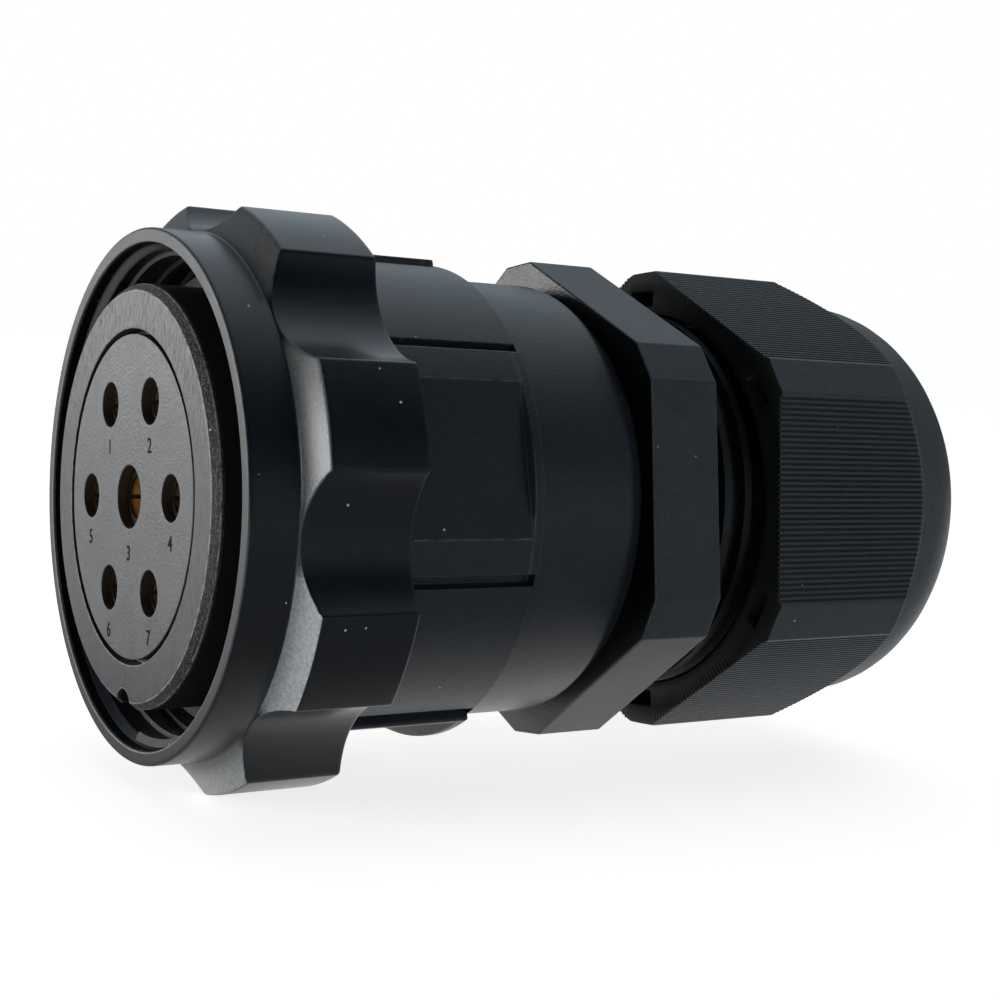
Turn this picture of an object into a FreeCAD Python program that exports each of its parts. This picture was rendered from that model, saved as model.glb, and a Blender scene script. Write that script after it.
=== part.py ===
"""Circular inline socket connector: fluted coupling ring, seven contacts and a domed cable gland."""
import FreeCAD
import Part

import math
import os

V = FreeCAD.Vector
AXIS = V(1, 0, 0)
ORIGIN = V(0, 0, 0)

# Frame: the axis lies along X, the mating face is at x = 0 and the cable leaves towards +X.
# Angles run round the axis from the -Y side (0) over the top (90).
# All sizes are in millimetres and degrees.

# Attitude
lie_roll = 7.3              # roll of the connector about its axis as it lies on two lobes of the ring
body_flat_turn = 9.4        # first spanner flat of the shell
flange_turn = 2.8           # first flat of the gland's flange
nut_turn = 0.5              # first flat of the clamping nut
keyway_turn = -92.9         # keyway of the sleeve

# Shared clearances
running_clearance = 0.08    # radial, between the coupling ring and its journal
turning_gap = 0.3           # between faces that turn past each other
seat_clearance = 0.05       # radial, between pieces that are pushed together
thread_clearance = 0.1      # radial, between fixed threads drawn as plain cylinders
edge_break = 0.4            # small chamfer on outside edges
cut_allowance = 1.0         # how far a cutting block reaches past the surface it cuts

# Coupling ring
ring_front = 0.9
ring_length = 18.6
rim_radius = 30.0
neck_length = 5.6
bevel_length = 1.65
land_radius = 33.8
lobe_count = 8
flute_radius = 11.0
flute_rise = 0.15           # height of the flute floor above the neck
lip_bore_radius = 28.4
lip_depth = 1.5
ring_thread_radius = 27.6
ring_thread_length = 9.6
relief_radius = 28.1
ring_flange_thickness = 4.3

# Body shell
shell_front = 11.0
journal_radius = 25.8
body_radius = 28.4
body_length = 17.55
body_chamfer = 0.7
insert_bore_radius = 21.5
insert_bore_length = 20.0
cavity_radius = 24.6
pad_radius = 29.15
pad_end_gap = 0.75
pad_flat = 27.8             # distance of the spanner flats from the axis
flat_end_gap = 2.0
wide_pad_half_angle = 25.5
narrow_pad_half_angle = 18.6
pad_groove_width = 1.6
pad_groove_depth = 1.2

# Snap ring
snap_ring_thickness = 1.2
snap_ring_height = 2.3
snap_groove_depth = 1.2
snap_ring_opening = 34.0

# Mating gasket
gasket_thickness = 1.6

# Insert sleeve
sleeve_radius = 23.8
sleeve_chamfer = 0.8
sleeve_face_bore = 18.8
sleeve_face_depth = 2.2
sleeve_inner_radius = 19.9
keyway_radius = 2.2
sleeve_nut_thickness = 2.6
sleeve_nut_rim = 0.3        # radial room round the sleeve nut
spanner_slot_width = 2.4
spanner_slot_depth = 1.2

# Insulators
face_setback = 0.1
face_radius = 18.2
face_shoulder = 6.0
face_thickness = 8.9
rear_insert_thickness = 15.0
lock_ring_thickness = 3.0
lock_ring_bore = 15.5

# Contacts
contact_circle_radius = 12.1
contact_setback = 1.2
collar_thickness = 1.4
collar_clearance = 0.05
contact_barrel_radius = 2.4
contact_bore_radius = 1.8
contact_collar_radius = 3.0
contact_terminal_radius = 2.9
contact_wire_radius = 1.9
centre_barrel_radius = 3.4
centre_bore_radius = 2.5
centre_collar_radius = 4.3
centre_terminal_radius = 3.9
centre_wire_radius = 2.6
contact_hole_clearance = 0.15
contact_bore_depth = 13.8
contact_slot_width = 0.5
contact_slot_depth = 8.0
terminal_length = 6.5
wire_depth = 7.5
terminal_screw_radius = 1.25

# Rear shell
tube_radius = 26.9
tube_length = 14.65
tube_round = 2.4
chamber_radius = 22.0
tube_wall = 2.65            # wall round the gland's thread
gland_thread_length = 10.5

# Gland
washer_thickness = 0.9
washer_setback = 1.7        # washer's rim below the tube's
flange_apothem = 27.4
flange_corner_apothem = 30.1
flange_thickness = 9.8
gland_bore_radius = 20.4
gland_spigot_length = 9.0
neck_radius = 24.3
neck_end_length = 14.0      # neck behind the flange, up to the fingers
finger_count = 12
finger_length = 14.5
finger_outer_radius = 23.5
finger_inner_radius = 21.5
finger_tip_radius = 22.6
finger_taper_length = 5.0
finger_slot_width = 1.3
seal_bore_radius = 17.5
seal_length = 18.5
seal_seat_depth = 2.0       # how far the seal's seat lies ahead of the fingers
seal_chamfer = 1.2

# Clamping nut
nut_gap = 9.5               # flange to nut
nut_apothem = 27.5
nut_corner_apothem = 30.35
nut_straight_length = 21.4
nut_chamfer = 0.4
shoulder_angle = 43.0       # slope between the hexagon and the dome
dome_step = 0.15            # dome's front edge below the nut's flats
dome_cone_length = 1.9
dome_cone_angle = 3.0
dome_radius = 10.06
dome_end_angle = 72.0
nut_thread_length = 13.0
nut_entry_radius = 19.5
nut_entry_length = 5.5
rib_count = 39
rib_height = 0.3
rib_flank_share = 0.3       # share of the rib pitch that each side of a groove takes
pocket_inner_radius = 25.7
pocket_outer_radius = 28.0
pocket_width = 4.6
pocket_depth = 3.0

# Places worked out from the sizes above
bevel_start = ring_front + neck_length
bevel_end = bevel_start + bevel_length
ring_rear = ring_front + ring_length
ring_flange_front = ring_rear - ring_flange_thickness
ring_bore_radius = journal_radius + running_clearance
lobe_pitch = 360.0 / lobe_count
shoulder_x = ring_rear + turning_gap
body_end = shoulder_x + body_length
snap_rear = ring_flange_front - turning_gap
snap_front = snap_rear - snap_ring_thickness
snap_groove_radius = journal_radius - snap_groove_depth
sleeve_seat = shell_front + insert_bore_length
sleeve_tail_radius = insert_bore_radius - thread_clearance
sleeve_rear = sleeve_seat + sleeve_nut_thickness
face_rear = face_setback + face_thickness
rear_insert_end = face_rear + rear_insert_thickness
lock_ring_end = rear_insert_end + lock_ring_thickness
insulator_radius = sleeve_inner_radius - thread_clearance
collar_front = face_rear - collar_thickness
terminal_start = rear_insert_end + collar_clearance
terminal_end = terminal_start + terminal_length
tube_end = body_end + tube_length
gland_thread_radius = tube_radius - tube_wall
spigot_front = sleeve_rear + turning_gap
spigot_radius = cavity_radius - thread_clearance
gland_thread_front = tube_end - gland_thread_length
flange_front = tube_end + washer_thickness
washer_radius = tube_radius - washer_setback
flange_rear = flange_front + flange_thickness
gland_spigot_radius = gland_thread_radius - thread_clearance
finger_start = flange_rear + neck_end_length
finger_end = finger_start + finger_length
seal_start = finger_start - seal_seat_depth
seal_radius = finger_inner_radius - seat_clearance
nut_front = flange_rear + nut_gap
dome_start = nut_front + nut_straight_length
dome_front_radius = nut_apothem - dome_step
nut_thread_radius = neck_radius + turning_gap
quarter_turn = 90.0
half_turn = 180.0
hex_sides = 6
hex_pitch = 360.0 / hex_sides


def spoke(angle, radius, x=0.0):
    """Point at an angle round the axis."""
    turn = math.radians(angle)
    return V(x, -radius * math.cos(turn), radius * math.sin(turn))


def turned(outline):
    """Solid of revolution about the axis from a closed outline of (x, radius) points."""
    points = [V(x, 0, radius) for x, radius in outline]
    face = Part.Face(Part.makePolygon(points + points[:1]))
    return face.revolve(ORIGIN, AXIS, 360)


def rod(x0, x1, radius, centre=ORIGIN):
    """Round bar along the axis direction."""
    return Part.makeCylinder(radius, x1 - x0, V(x0, centre.y, centre.z), AXIS)


def tube(x0, x1, inner, outer):
    """Plain ring along the axis."""
    return turned([(x0, inner), (x0, outer), (x1, outer), (x1, inner)])


def sector(x0, x1, inner, outer, centre, half_angle):
    """Block between two radii that spans an angle round the axis."""
    low = centre - half_angle
    high = centre + half_angle
    outer_arc = Part.Arc(spoke(low, outer, x0), spoke(centre, outer, x0), spoke(high, outer, x0))
    inner_arc = Part.Arc(spoke(high, inner, x0), spoke(centre, inner, x0), spoke(low, inner, x0))
    edges = [
        outer_arc.toShape(),
        Part.makeLine(spoke(high, outer, x0), spoke(high, inner, x0)),
        inner_arc.toShape(),
        Part.makeLine(spoke(low, inner, x0), spoke(low, outer, x0)),
    ]
    return Part.Face(Part.Wire(edges)).extrude(V(x1 - x0, 0, 0))


def radial_block(x0, x1, inner, outer, width, angle):
    """Box that stands on a spoke between two distances from the axis."""
    block = Part.makeBox(x1 - x0, outer - inner, width, V(x0, -outer, -width / 2))
    return block.rotate(ORIGIN, V(-1, 0, 0), angle)


def half_flat_width(apothem, corner_apothem):
    """Half the width of a main flat of a hexagon whose corners are cut off flat."""
    half_pitch = math.radians(hex_pitch / 2)
    return (corner_apothem - apothem * math.cos(half_pitch)) / math.sin(half_pitch)


def edge_radius(apothem, corner_apothem):
    """Radius over the edges of a hexagon whose corners are cut off flat."""
    return math.hypot(apothem, half_flat_width(apothem, corner_apothem))


def hexagon(x0, x1, apothem, corner_apothem, turn, flat_outline=None):
    """Hexagon prism with its corners cut off flat; flat_outline gives the course of each main flat."""
    half_flat = half_flat_width(apothem, corner_apothem)
    course = flat_outline(half_flat) if flat_outline else [(-half_flat, 0.0), (half_flat, 0.0)]
    points = []
    for side in range(hex_sides):
        angle = math.radians(hex_pitch * side + turn)
        outward = V(0, -math.cos(angle), math.sin(angle))
        along = V(0, math.sin(angle), math.cos(angle))
        for offset, sunk in course:
            points.append(V(x0, 0, 0) + outward * (apothem - sunk) + along * offset)
    face = Part.Face(Part.makePolygon(points + points[:1]))
    return face.extrude(V(x1 - x0, 0, 0))


def ribbed_flat(half_flat):
    """Course of a flat with gripping ribs: offset along the flat and depth below it."""
    pitch = 2 * half_flat / rib_count
    flank = rib_flank_share * pitch
    course = [(-half_flat, 0.0)]
    for rib in range(rib_count - 1):
        valley = -half_flat + (rib + 1) * pitch
        course += [(valley - flank, 0.0), (valley, rib_height), (valley + flank, 0.0)]
    return course + [(half_flat, 0.0)]


def coupling_ring():
    """Fluted ring with a plain neck, a threaded mouth and an inward flange at the rear."""
    thread_start = ring_front + lip_depth
    thread_end = thread_start + ring_thread_length
    ring = turned([
        (ring_front, lip_bore_radius),
        (ring_front, rim_radius - edge_break),
        (ring_front + edge_break, rim_radius),
        (bevel_start, rim_radius),
        (bevel_end, land_radius),
        (ring_rear - edge_break, land_radius),
        (ring_rear, land_radius - edge_break),
        (ring_rear, ring_bore_radius),
        (ring_flange_front, ring_bore_radius),
        (ring_flange_front, relief_radius),
        (thread_end, relief_radius),
        (thread_end, ring_thread_radius),
        (thread_start + lip_bore_radius - ring_thread_radius, ring_thread_radius),
        (thread_start, lip_bore_radius),
    ])
    flute_centre = rim_radius + flute_rise + flute_radius
    flutes = [
        rod(ring_front, ring_rear + edge_break, flute_radius, spoke(lobe * lobe_pitch, flute_centre))
        for lobe in range(lobe_count)
    ]
    return ring.cut(flutes)


def body_shell():
    """Shell with a journal for the ring, four spanner pads and a bore for the insert sleeve."""
    shell = turned([
        (shell_front, insert_bore_radius),
        (shell_front, journal_radius),
        (snap_front, journal_radius),
        (snap_front, snap_groove_radius),
        (snap_rear, snap_groove_radius),
        (snap_rear, journal_radius),
        (shoulder_x, journal_radius),
        (shoulder_x, body_radius),
        (body_end - body_chamfer, body_radius),
        (body_end, body_radius - body_chamfer),
        (body_end, cavity_radius),
        (sleeve_seat, cavity_radius),
        (sleeve_seat, insert_bore_radius),
    ])
    groove_half = math.degrees(pad_groove_width / body_radius) / 2
    groove_floor = body_radius - pad_groove_depth
    pad_end = body_end - pad_end_gap
    pads = []
    grooves = []
    flats = []
    for side in range(4):
        angle = body_flat_turn + quarter_turn * side
        half = wide_pad_half_angle if side % 2 == 0 else narrow_pad_half_angle
        pads.append(sector(shoulder_x, pad_end, groove_floor, pad_radius, angle, half))
        for edge in (-half - groove_half, half + groove_half):
            grooves.append(
                sector(shoulder_x - edge_break, pad_end, groove_floor, pad_radius, angle + edge, groove_half)
            )
        flats.append(
            radial_block(shoulder_x - edge_break, body_end - flat_end_gap, pad_flat,
                         pad_radius + cut_allowance, pad_radius, angle)
        )
    return shell.fuse(pads).cut(grooves).cut(flats)


def ring_snap_ring():
    """Open ring in the journal's groove, ahead of the coupling ring's flange."""
    inner = snap_groove_radius + seat_clearance
    outer = inner + snap_ring_height
    ring = tube(snap_front + seat_clearance, snap_rear - seat_clearance, inner, outer)
    opening = sector(snap_front, snap_rear, inner - cut_allowance, outer + cut_allowance, quarter_turn,
                     snap_ring_opening / 2)
    return ring.cut(opening)


def mating_gasket():
    """Flat seal on the front of the shell, round the sleeve."""
    return tube(shell_front - gasket_thickness, shell_front, sleeve_radius + seat_clearance, journal_radius)


def insert_sleeve():
    """Thick sleeve round the insulators, with the keyway that sets the plug's position."""
    front_bore = face_radius + seat_clearance
    sleeve = turned([
        (0, sleeve_face_bore),
        (0, sleeve_radius - sleeve_chamfer),
        (sleeve_chamfer, sleeve_radius),
        (shell_front, sleeve_radius),
        (shell_front, sleeve_tail_radius),
        (sleeve_rear, sleeve_tail_radius),
        (sleeve_rear, sleeve_inner_radius),
        (face_shoulder, sleeve_inner_radius),
        (face_shoulder, front_bore),
        (sleeve_face_depth, front_bore),
        (sleeve_face_depth, sleeve_face_bore),
    ])
    keyway = rod(-edge_break, shell_front - gasket_thickness, keyway_radius,
                 spoke(keyway_turn, sleeve_radius))
    return sleeve.cut(keyway)


def slotted_ring(x0, x1, inner, outer, slot_angles):
    """Ring nut with spanner slots in its rear face."""
    slots = [
        radial_block(x1 - spanner_slot_depth, x1 + cut_allowance, inner - cut_allowance,
                     outer + cut_allowance, spanner_slot_width, angle)
        for angle in slot_angles
    ]
    return tube(x0, x1, inner, outer).cut(slots)


def sleeve_nut():
    """Ring nut on the sleeve's tail, against the shell's inner shoulder."""
    return slotted_ring(sleeve_seat, sleeve_rear, insert_bore_radius, cavity_radius - sleeve_nut_rim,
                        (0, quarter_turn, half_turn, -quarter_turn))


def insert_lock_ring():
    """Ring nut that holds both insulators in the sleeve."""
    return slotted_ring(rear_insert_end, lock_ring_end, lock_ring_bore, insulator_radius, (0, half_turn))


def contact_places():
    """Number, centre, spoke angle of the clamping screw and whether it is the centre contact."""
    angles = {1: 120, 2: 60, 3: 180, 5: 0, 6: 240, 7: 300}
    places = [(number, spoke(angle, contact_circle_radius), angle, False) for number, angle in angles.items()]
    return places + [(4, ORIGIN, quarter_turn, True)]


def face_insert():
    """Front insulator with the contact holes and the pockets of the contact collars."""
    insert = turned([
        (face_setback, 0),
        (face_setback, face_radius),
        (face_shoulder, face_radius),
        (face_shoulder, insulator_radius),
        (face_rear, insulator_radius),
        (face_rear, 0),
    ])
    cuts = []
    for _, centre, _, is_centre in contact_places():
        barrel = centre_barrel_radius if is_centre else contact_barrel_radius
        collar = centre_collar_radius if is_centre else contact_collar_radius
        cuts.append(rod(0, face_rear, barrel + contact_hole_clearance, centre))
        cuts.append(rod(collar_front - collar_clearance, face_rear, collar + collar_clearance, centre))
    return insert.cut(cuts)


def rear_insert():
    """Rear insulator that closes the collar pockets."""
    insert = rod(face_rear, rear_insert_end, insulator_radius)
    holes = []
    for _, centre, _, is_centre in contact_places():
        barrel = centre_barrel_radius if is_centre else contact_barrel_radius
        holes.append(rod(face_rear, rear_insert_end, barrel + collar_clearance, centre))
    return insert.cut(holes)


def socket_contact(centre, screw_angle, is_centre):
    """Slotted socket with a collar, a wire cup and a tapped hole for its clamping screw."""
    barrel = centre_barrel_radius if is_centre else contact_barrel_radius
    bore = centre_bore_radius if is_centre else contact_bore_radius
    collar = centre_collar_radius if is_centre else contact_collar_radius
    terminal = centre_terminal_radius if is_centre else contact_terminal_radius
    wire = centre_wire_radius if is_centre else contact_wire_radius
    bore_end = contact_setback + contact_bore_depth
    wire_start = terminal_end - wire_depth
    collar_rear = face_rear - collar_clearance
    contact = turned([
        (contact_setback, bore),
        (contact_setback, barrel),
        (collar_front, barrel),
        (collar_front, collar),
        (collar_rear, collar),
        (collar_rear, barrel),
        (terminal_start, barrel),
        (terminal_start, terminal),
        (terminal_end, terminal),
        (terminal_end, wire),
        (wire_start, wire),
        (wire_start, 0),
        (bore_end, 0),
        (bore_end, bore),
    ])
    slot_start = contact_setback - edge_break
    slot_end = contact_setback + contact_slot_depth
    slots = [
        Part.makeBox(slot_end - slot_start, 2 * collar, contact_slot_width,
                     V(slot_start, -collar, -contact_slot_width / 2)),
        Part.makeBox(slot_end - slot_start, contact_slot_width, 2 * collar,
                     V(slot_start, -contact_slot_width / 2, -collar)),
    ]
    screw_hole = screw_rod(0, terminal + edge_break, terminal_screw_radius + seat_clearance, screw_angle)
    contact = contact.cut(slots + [screw_hole])
    contact.translate(centre)
    return contact


def screw_rod(inner, outer, radius, angle):
    """Round bar along a spoke, in the middle of the wire cups' free length."""
    middle = (terminal_start + terminal_end) / 2
    return Part.makeCylinder(radius, outer - inner, spoke(angle, inner, middle), spoke(angle, 1))


def terminal_screws():
    """One clamping screw in the wall of each wire cup."""
    screws = []
    for _, centre, angle, is_centre in contact_places():
        terminal = centre_terminal_radius if is_centre else contact_terminal_radius
        wire = centre_wire_radius if is_centre else contact_wire_radius
        screw = screw_rod(wire - edge_break, terminal, terminal_screw_radius, angle)
        screw.translate(centre)
        screws.append(screw)
    return Part.makeCompound(screws)


def rear_shell():
    """Smooth tube with a rounded shoulder, a thread for the shell and one for the gland."""
    shoulder = tube_radius - tube_round
    bend = tube_round * math.sin(math.radians(45))
    outline = [
        V(tube_end, 0, shoulder),
        V(tube_end, 0, gland_thread_radius),
        V(gland_thread_front, 0, gland_thread_radius),
        V(gland_thread_front, 0, chamber_radius),
        V(spigot_front, 0, chamber_radius),
        V(spigot_front, 0, spigot_radius),
        V(body_end, 0, spigot_radius),
        V(body_end, 0, tube_radius),
        V(tube_end - tube_round, 0, tube_radius),
    ]
    round_edge = Part.Arc(outline[-1], V(tube_end - tube_round + bend, 0, shoulder + bend), outline[0])
    wire = Part.Wire(Part.makePolygon(outline).Edges + [round_edge.toShape()])
    return Part.Face(wire).revolve(ORIGIN, AXIS, 360)


def gland_washer():
    """Flat seal between the tube and the gland's flange."""
    return tube(tube_end, flange_front, gland_thread_radius, washer_radius)


def gland_body():
    """Gland with a hexagon flange, threads on both sides and slotted clamping fingers."""
    flange = hexagon(flange_front, flange_rear, flange_apothem, flange_corner_apothem, flange_turn)
    spigot_start = flange_front - gland_spigot_length
    stem = turned([
        (spigot_start, 0),
        (spigot_start, gland_spigot_radius),
        (flange_front, gland_spigot_radius),
        (flange_front + edge_break, neck_radius),
        (finger_start, neck_radius),
        (finger_start, finger_outer_radius),
        (finger_end - finger_taper_length, finger_outer_radius),
        (finger_end, finger_tip_radius),
        (finger_end, 0),
    ])
    bore = turned([
        (spigot_start, 0),
        (spigot_start, gland_bore_radius),
        (seal_start, gland_bore_radius),
        (seal_start, finger_inner_radius),
        (finger_end, finger_inner_radius),
        (finger_end, 0),
    ])
    slots = [
        radial_block(finger_start, finger_end, gland_bore_radius, neck_radius, finger_slot_width,
                     finger * 360 / finger_count)
        for finger in range(finger_count)
    ]
    return flange.fuse(stem).cut(bore).cut(slots)


def gland_seal():
    """Rubber sleeve that the fingers press onto the cable."""
    seal_end = seal_start + seal_length
    return turned([
        (seal_start, seal_bore_radius),
        (seal_start, seal_radius),
        (finger_end, seal_radius),
        (seal_end, seal_radius - seal_chamfer),
        (seal_end, seal_bore_radius),
    ])


def clamping_nut():
    """Domed hexagon nut with gripping ribs, corner pockets in its front and a conical inside."""
    cone = math.radians(dome_cone_angle)
    end = math.radians(dome_end_angle)
    middle = (cone + end) / 2
    corner = edge_radius(nut_apothem, nut_corner_apothem)
    shoulder_end = dome_start + (corner - dome_front_radius) / math.tan(math.radians(shoulder_angle))
    cone_end_x = shoulder_end + dome_cone_length
    cone_end_radius = dome_front_radius - dome_cone_length * math.tan(cone)
    arc_x = cone_end_x - dome_radius * math.sin(cone)
    arc_radius = cone_end_radius - dome_radius * math.cos(cone)

    def on_arc(angle):
        return V(arc_x + dome_radius * math.sin(angle), 0, arc_radius + dome_radius * math.cos(angle))

    nut_end = on_arc(end).x
    grip_form = turned([
        (nut_front, 0),
        (nut_front, corner - nut_chamfer),
        (nut_front + nut_chamfer, corner),
        (dome_start, corner),
        (shoulder_end, dome_front_radius),
        (shoulder_end, 0),
    ])
    grip = hexagon(nut_front, shoulder_end, nut_apothem, nut_corner_apothem, nut_turn, ribbed_flat)
    dome_outline = [
        on_arc(end),
        V(nut_end, 0, 0),
        V(shoulder_end, 0, 0),
        V(shoulder_end, 0, dome_front_radius),
        on_arc(cone),
    ]
    dome_arc = Part.Arc(on_arc(cone), on_arc(middle), on_arc(end)).toShape()
    dome_wire = Part.Wire(Part.makePolygon(dome_outline).Edges + [dome_arc])
    dome = Part.Face(dome_wire).revolve(ORIGIN, AXIS, 360)
    bore = turned([
        (nut_front, 0),
        (nut_front, nut_thread_radius),
        (nut_front + nut_thread_length, nut_thread_radius),
        (nut_end - nut_entry_length, nut_entry_radius),
        (nut_end, nut_entry_radius),
        (nut_end, 0),
    ])
    pockets = [
        radial_block(nut_front - edge_break, nut_front + pocket_depth, pocket_inner_radius,
                     pocket_outer_radius, pocket_width, nut_turn + (corner_number + 0.5) * hex_pitch)
        for corner_number in range(hex_sides)
    ]
    return grip.common(grip_form).fuse(dome).cut(bore).cut(pockets)


def main():
    """Build every piece, lay the connector down and write one file per piece."""
    os.makedirs("parts", exist_ok=True)
    pieces = {
        "body_shell": body_shell(),
        "rear_shell": rear_shell(),
        "insert_sleeve": insert_sleeve(),
        "sleeve_nut": sleeve_nut(),
        "face_insert": face_insert(),
        "rear_insert": rear_insert(),
        "insert_lock_ring": insert_lock_ring(),
        "mating_gasket": mating_gasket(),
        "ring_snap_ring": ring_snap_ring(),
        "terminal_screws": terminal_screws(),
        "gland_washer": gland_washer(),
        "gland_body": gland_body(),
        "gland_seal": gland_seal(),
        "clamping_nut": clamping_nut(),
    }
    for number, centre, angle, is_centre in contact_places():
        pieces[f"socket_contact_{number}"] = socket_contact(centre, angle, is_centre)
    for shape in pieces.values():
        shape.rotate(ORIGIN, V(-1, 0, 0), lie_roll)
    pieces["coupling_ring"] = coupling_ring()
    for name, shape in pieces.items():
        shape.exportStep(f"parts/{name}.step")


main()
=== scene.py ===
"""Studio scene of a round inline socket connector with a fluted coupling ring and a cable gland."""
import logging
import math
from dataclasses import dataclass, replace
from enum import Enum
from typing import Any, Callable, Iterable, Optional, Sequence, Union

import bmesh
import bpy
from mathutils import Matrix, Vector


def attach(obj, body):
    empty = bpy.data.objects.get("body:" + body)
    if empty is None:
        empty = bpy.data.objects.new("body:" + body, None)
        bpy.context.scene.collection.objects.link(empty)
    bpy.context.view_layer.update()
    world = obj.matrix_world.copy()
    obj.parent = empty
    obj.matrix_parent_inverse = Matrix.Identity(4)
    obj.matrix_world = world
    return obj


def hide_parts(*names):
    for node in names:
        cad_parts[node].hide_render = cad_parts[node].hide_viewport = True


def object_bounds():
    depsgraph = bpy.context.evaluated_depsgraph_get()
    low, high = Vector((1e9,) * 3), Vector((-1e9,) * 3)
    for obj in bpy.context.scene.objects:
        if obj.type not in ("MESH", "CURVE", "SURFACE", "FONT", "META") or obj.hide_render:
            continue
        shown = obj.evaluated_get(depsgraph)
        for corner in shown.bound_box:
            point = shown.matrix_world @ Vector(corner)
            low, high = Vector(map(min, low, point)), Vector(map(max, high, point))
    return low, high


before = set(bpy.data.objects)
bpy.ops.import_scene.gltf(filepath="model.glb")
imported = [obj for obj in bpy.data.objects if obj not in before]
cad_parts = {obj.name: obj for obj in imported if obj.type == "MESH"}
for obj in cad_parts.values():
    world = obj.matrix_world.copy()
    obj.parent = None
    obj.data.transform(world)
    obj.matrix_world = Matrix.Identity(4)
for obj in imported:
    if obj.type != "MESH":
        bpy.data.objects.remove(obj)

LOG = logging.getLogger("connector")

MM = 0.001                  # one millimetre in scene units
LIE_ROLL = 7.3              # roll of the connector about its axis as it lies, in degrees
HEX_PITCH = 60.0            # turn from one side of a hexagon to the next, in degrees
HEX_SIDES = 6
EDGE_STEPS = 4              # facets across a rounded edge
CORNER_SHARE = 0.42         # most of a side that the rounding of its corner may take
REST_SHARE = 0.48           # most of a side up to the point where it is plain again
REST_REACH = 1.9            # distance of that point from the corner, in roundings
STEEP_STEP = 0.05           # length over which a steep wall climbs, in millimetres
MERGE_DISTANCE = 2e-6       # points closer than this are one point, in metres
WALL_FACING = 0.7           # a face whose normal has less than this along the axis is a side wall
EDGE_ATTRIBUTE = "edge"     # 1 along the rounded edges of a piece, 0 elsewhere
ZONE_ATTRIBUTE = "zone"     # 1 on the faces that have a finish's second colour, 0 elsewhere; on the ring's bevels, the shell's flat walls and the nut this colour is painted light
PAINTED_SHADE_ATTRIBUTE = "painted_shade"     # 1 on the faces in gaps and grooves, which get painted shade, 0 elsewhere

BLACK = (0.0, 0.0, 0.0)
WHITE = (1.0, 1.0, 1.0)
DRIFT_SCALE = 0.06          # scale of a finish's slow drift against that of its grain
TONE_STEP = (0.3, 0.7)      # drift values between which a colour goes from dark to light
TIP_STEP = (0.36, 0.64)     # grain heights between which the tips stand out
GRIT_STEP = (0.5, 0.62)     # grain heights between which grit shows
TIP_LIGHT = 2.2             # brightness of the grain's tips against the colour
MOTTLE = (0.8, 1.15)        # brightness of the second colour in the grain's pits and on its tips
MARK_ROUGHNESS = 0.25       # roughness that specks and rubbed edges add
WEAR_SCALE = 0.9            # features of a rubbed edge to the millimetre
WEAR_EDGE = (0.35, 0.95)    # edge marks between which an edge gets rubbed
WEAR_BREAK = (0.25, 0.6)    # noise values between which the rubbing sets in
STROKE_STEP = (0.5, 0.75)   # noise values between which a stroke stands out
MIX_COLOURS = (6, 7)        # places of the two colours among a Mix node's inputs
MIX_RESULT = 2              # place of the mixed colour among its outputs

CAD_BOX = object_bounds()

Profile = list[tuple[float, float, float]]
ProfileAt = Callable[[float], Profile]
Colour = tuple[float, float, float]
Place = tuple[float, float, float]
Socket = bpy.types.NodeSocket
Feed = Union[float, Colour, Socket]
FaceWeight = Callable[[Vector, Vector], float]


class Body(Enum):
    """The rigid bodies that a piece can ride on."""

    SHELL = "shell"
    RING = "ring"
    NUT = "nut"


class Slot(Enum):
    """Names of the pieces' material slots."""

    RING = "ring_black"
    SHELL = "shell_black"
    INSULATOR = "insulator"
    GLAND = "gland_plastic"
    RUBBER = "seal_rubber"


@dataclass(frozen=True)
class Piece:
    """Name of a piece, the body it rides on, its slot and the solids it stands for."""

    name: str
    body: Body
    slot: Slot
    stands_for: tuple[str, ...] = ()

    def declare(self, obj: bpy.types.Object) -> None:
        """Hang the piece on its body and hide the solids it stands for.

        Args:
            obj: The finished object of the piece.
        """
        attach(obj, self.body.value)
        if self.stands_for:
            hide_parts(*self.stands_for)
        LOG.info("%s: %d faces", self.name, len(obj.data.polygons))


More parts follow.
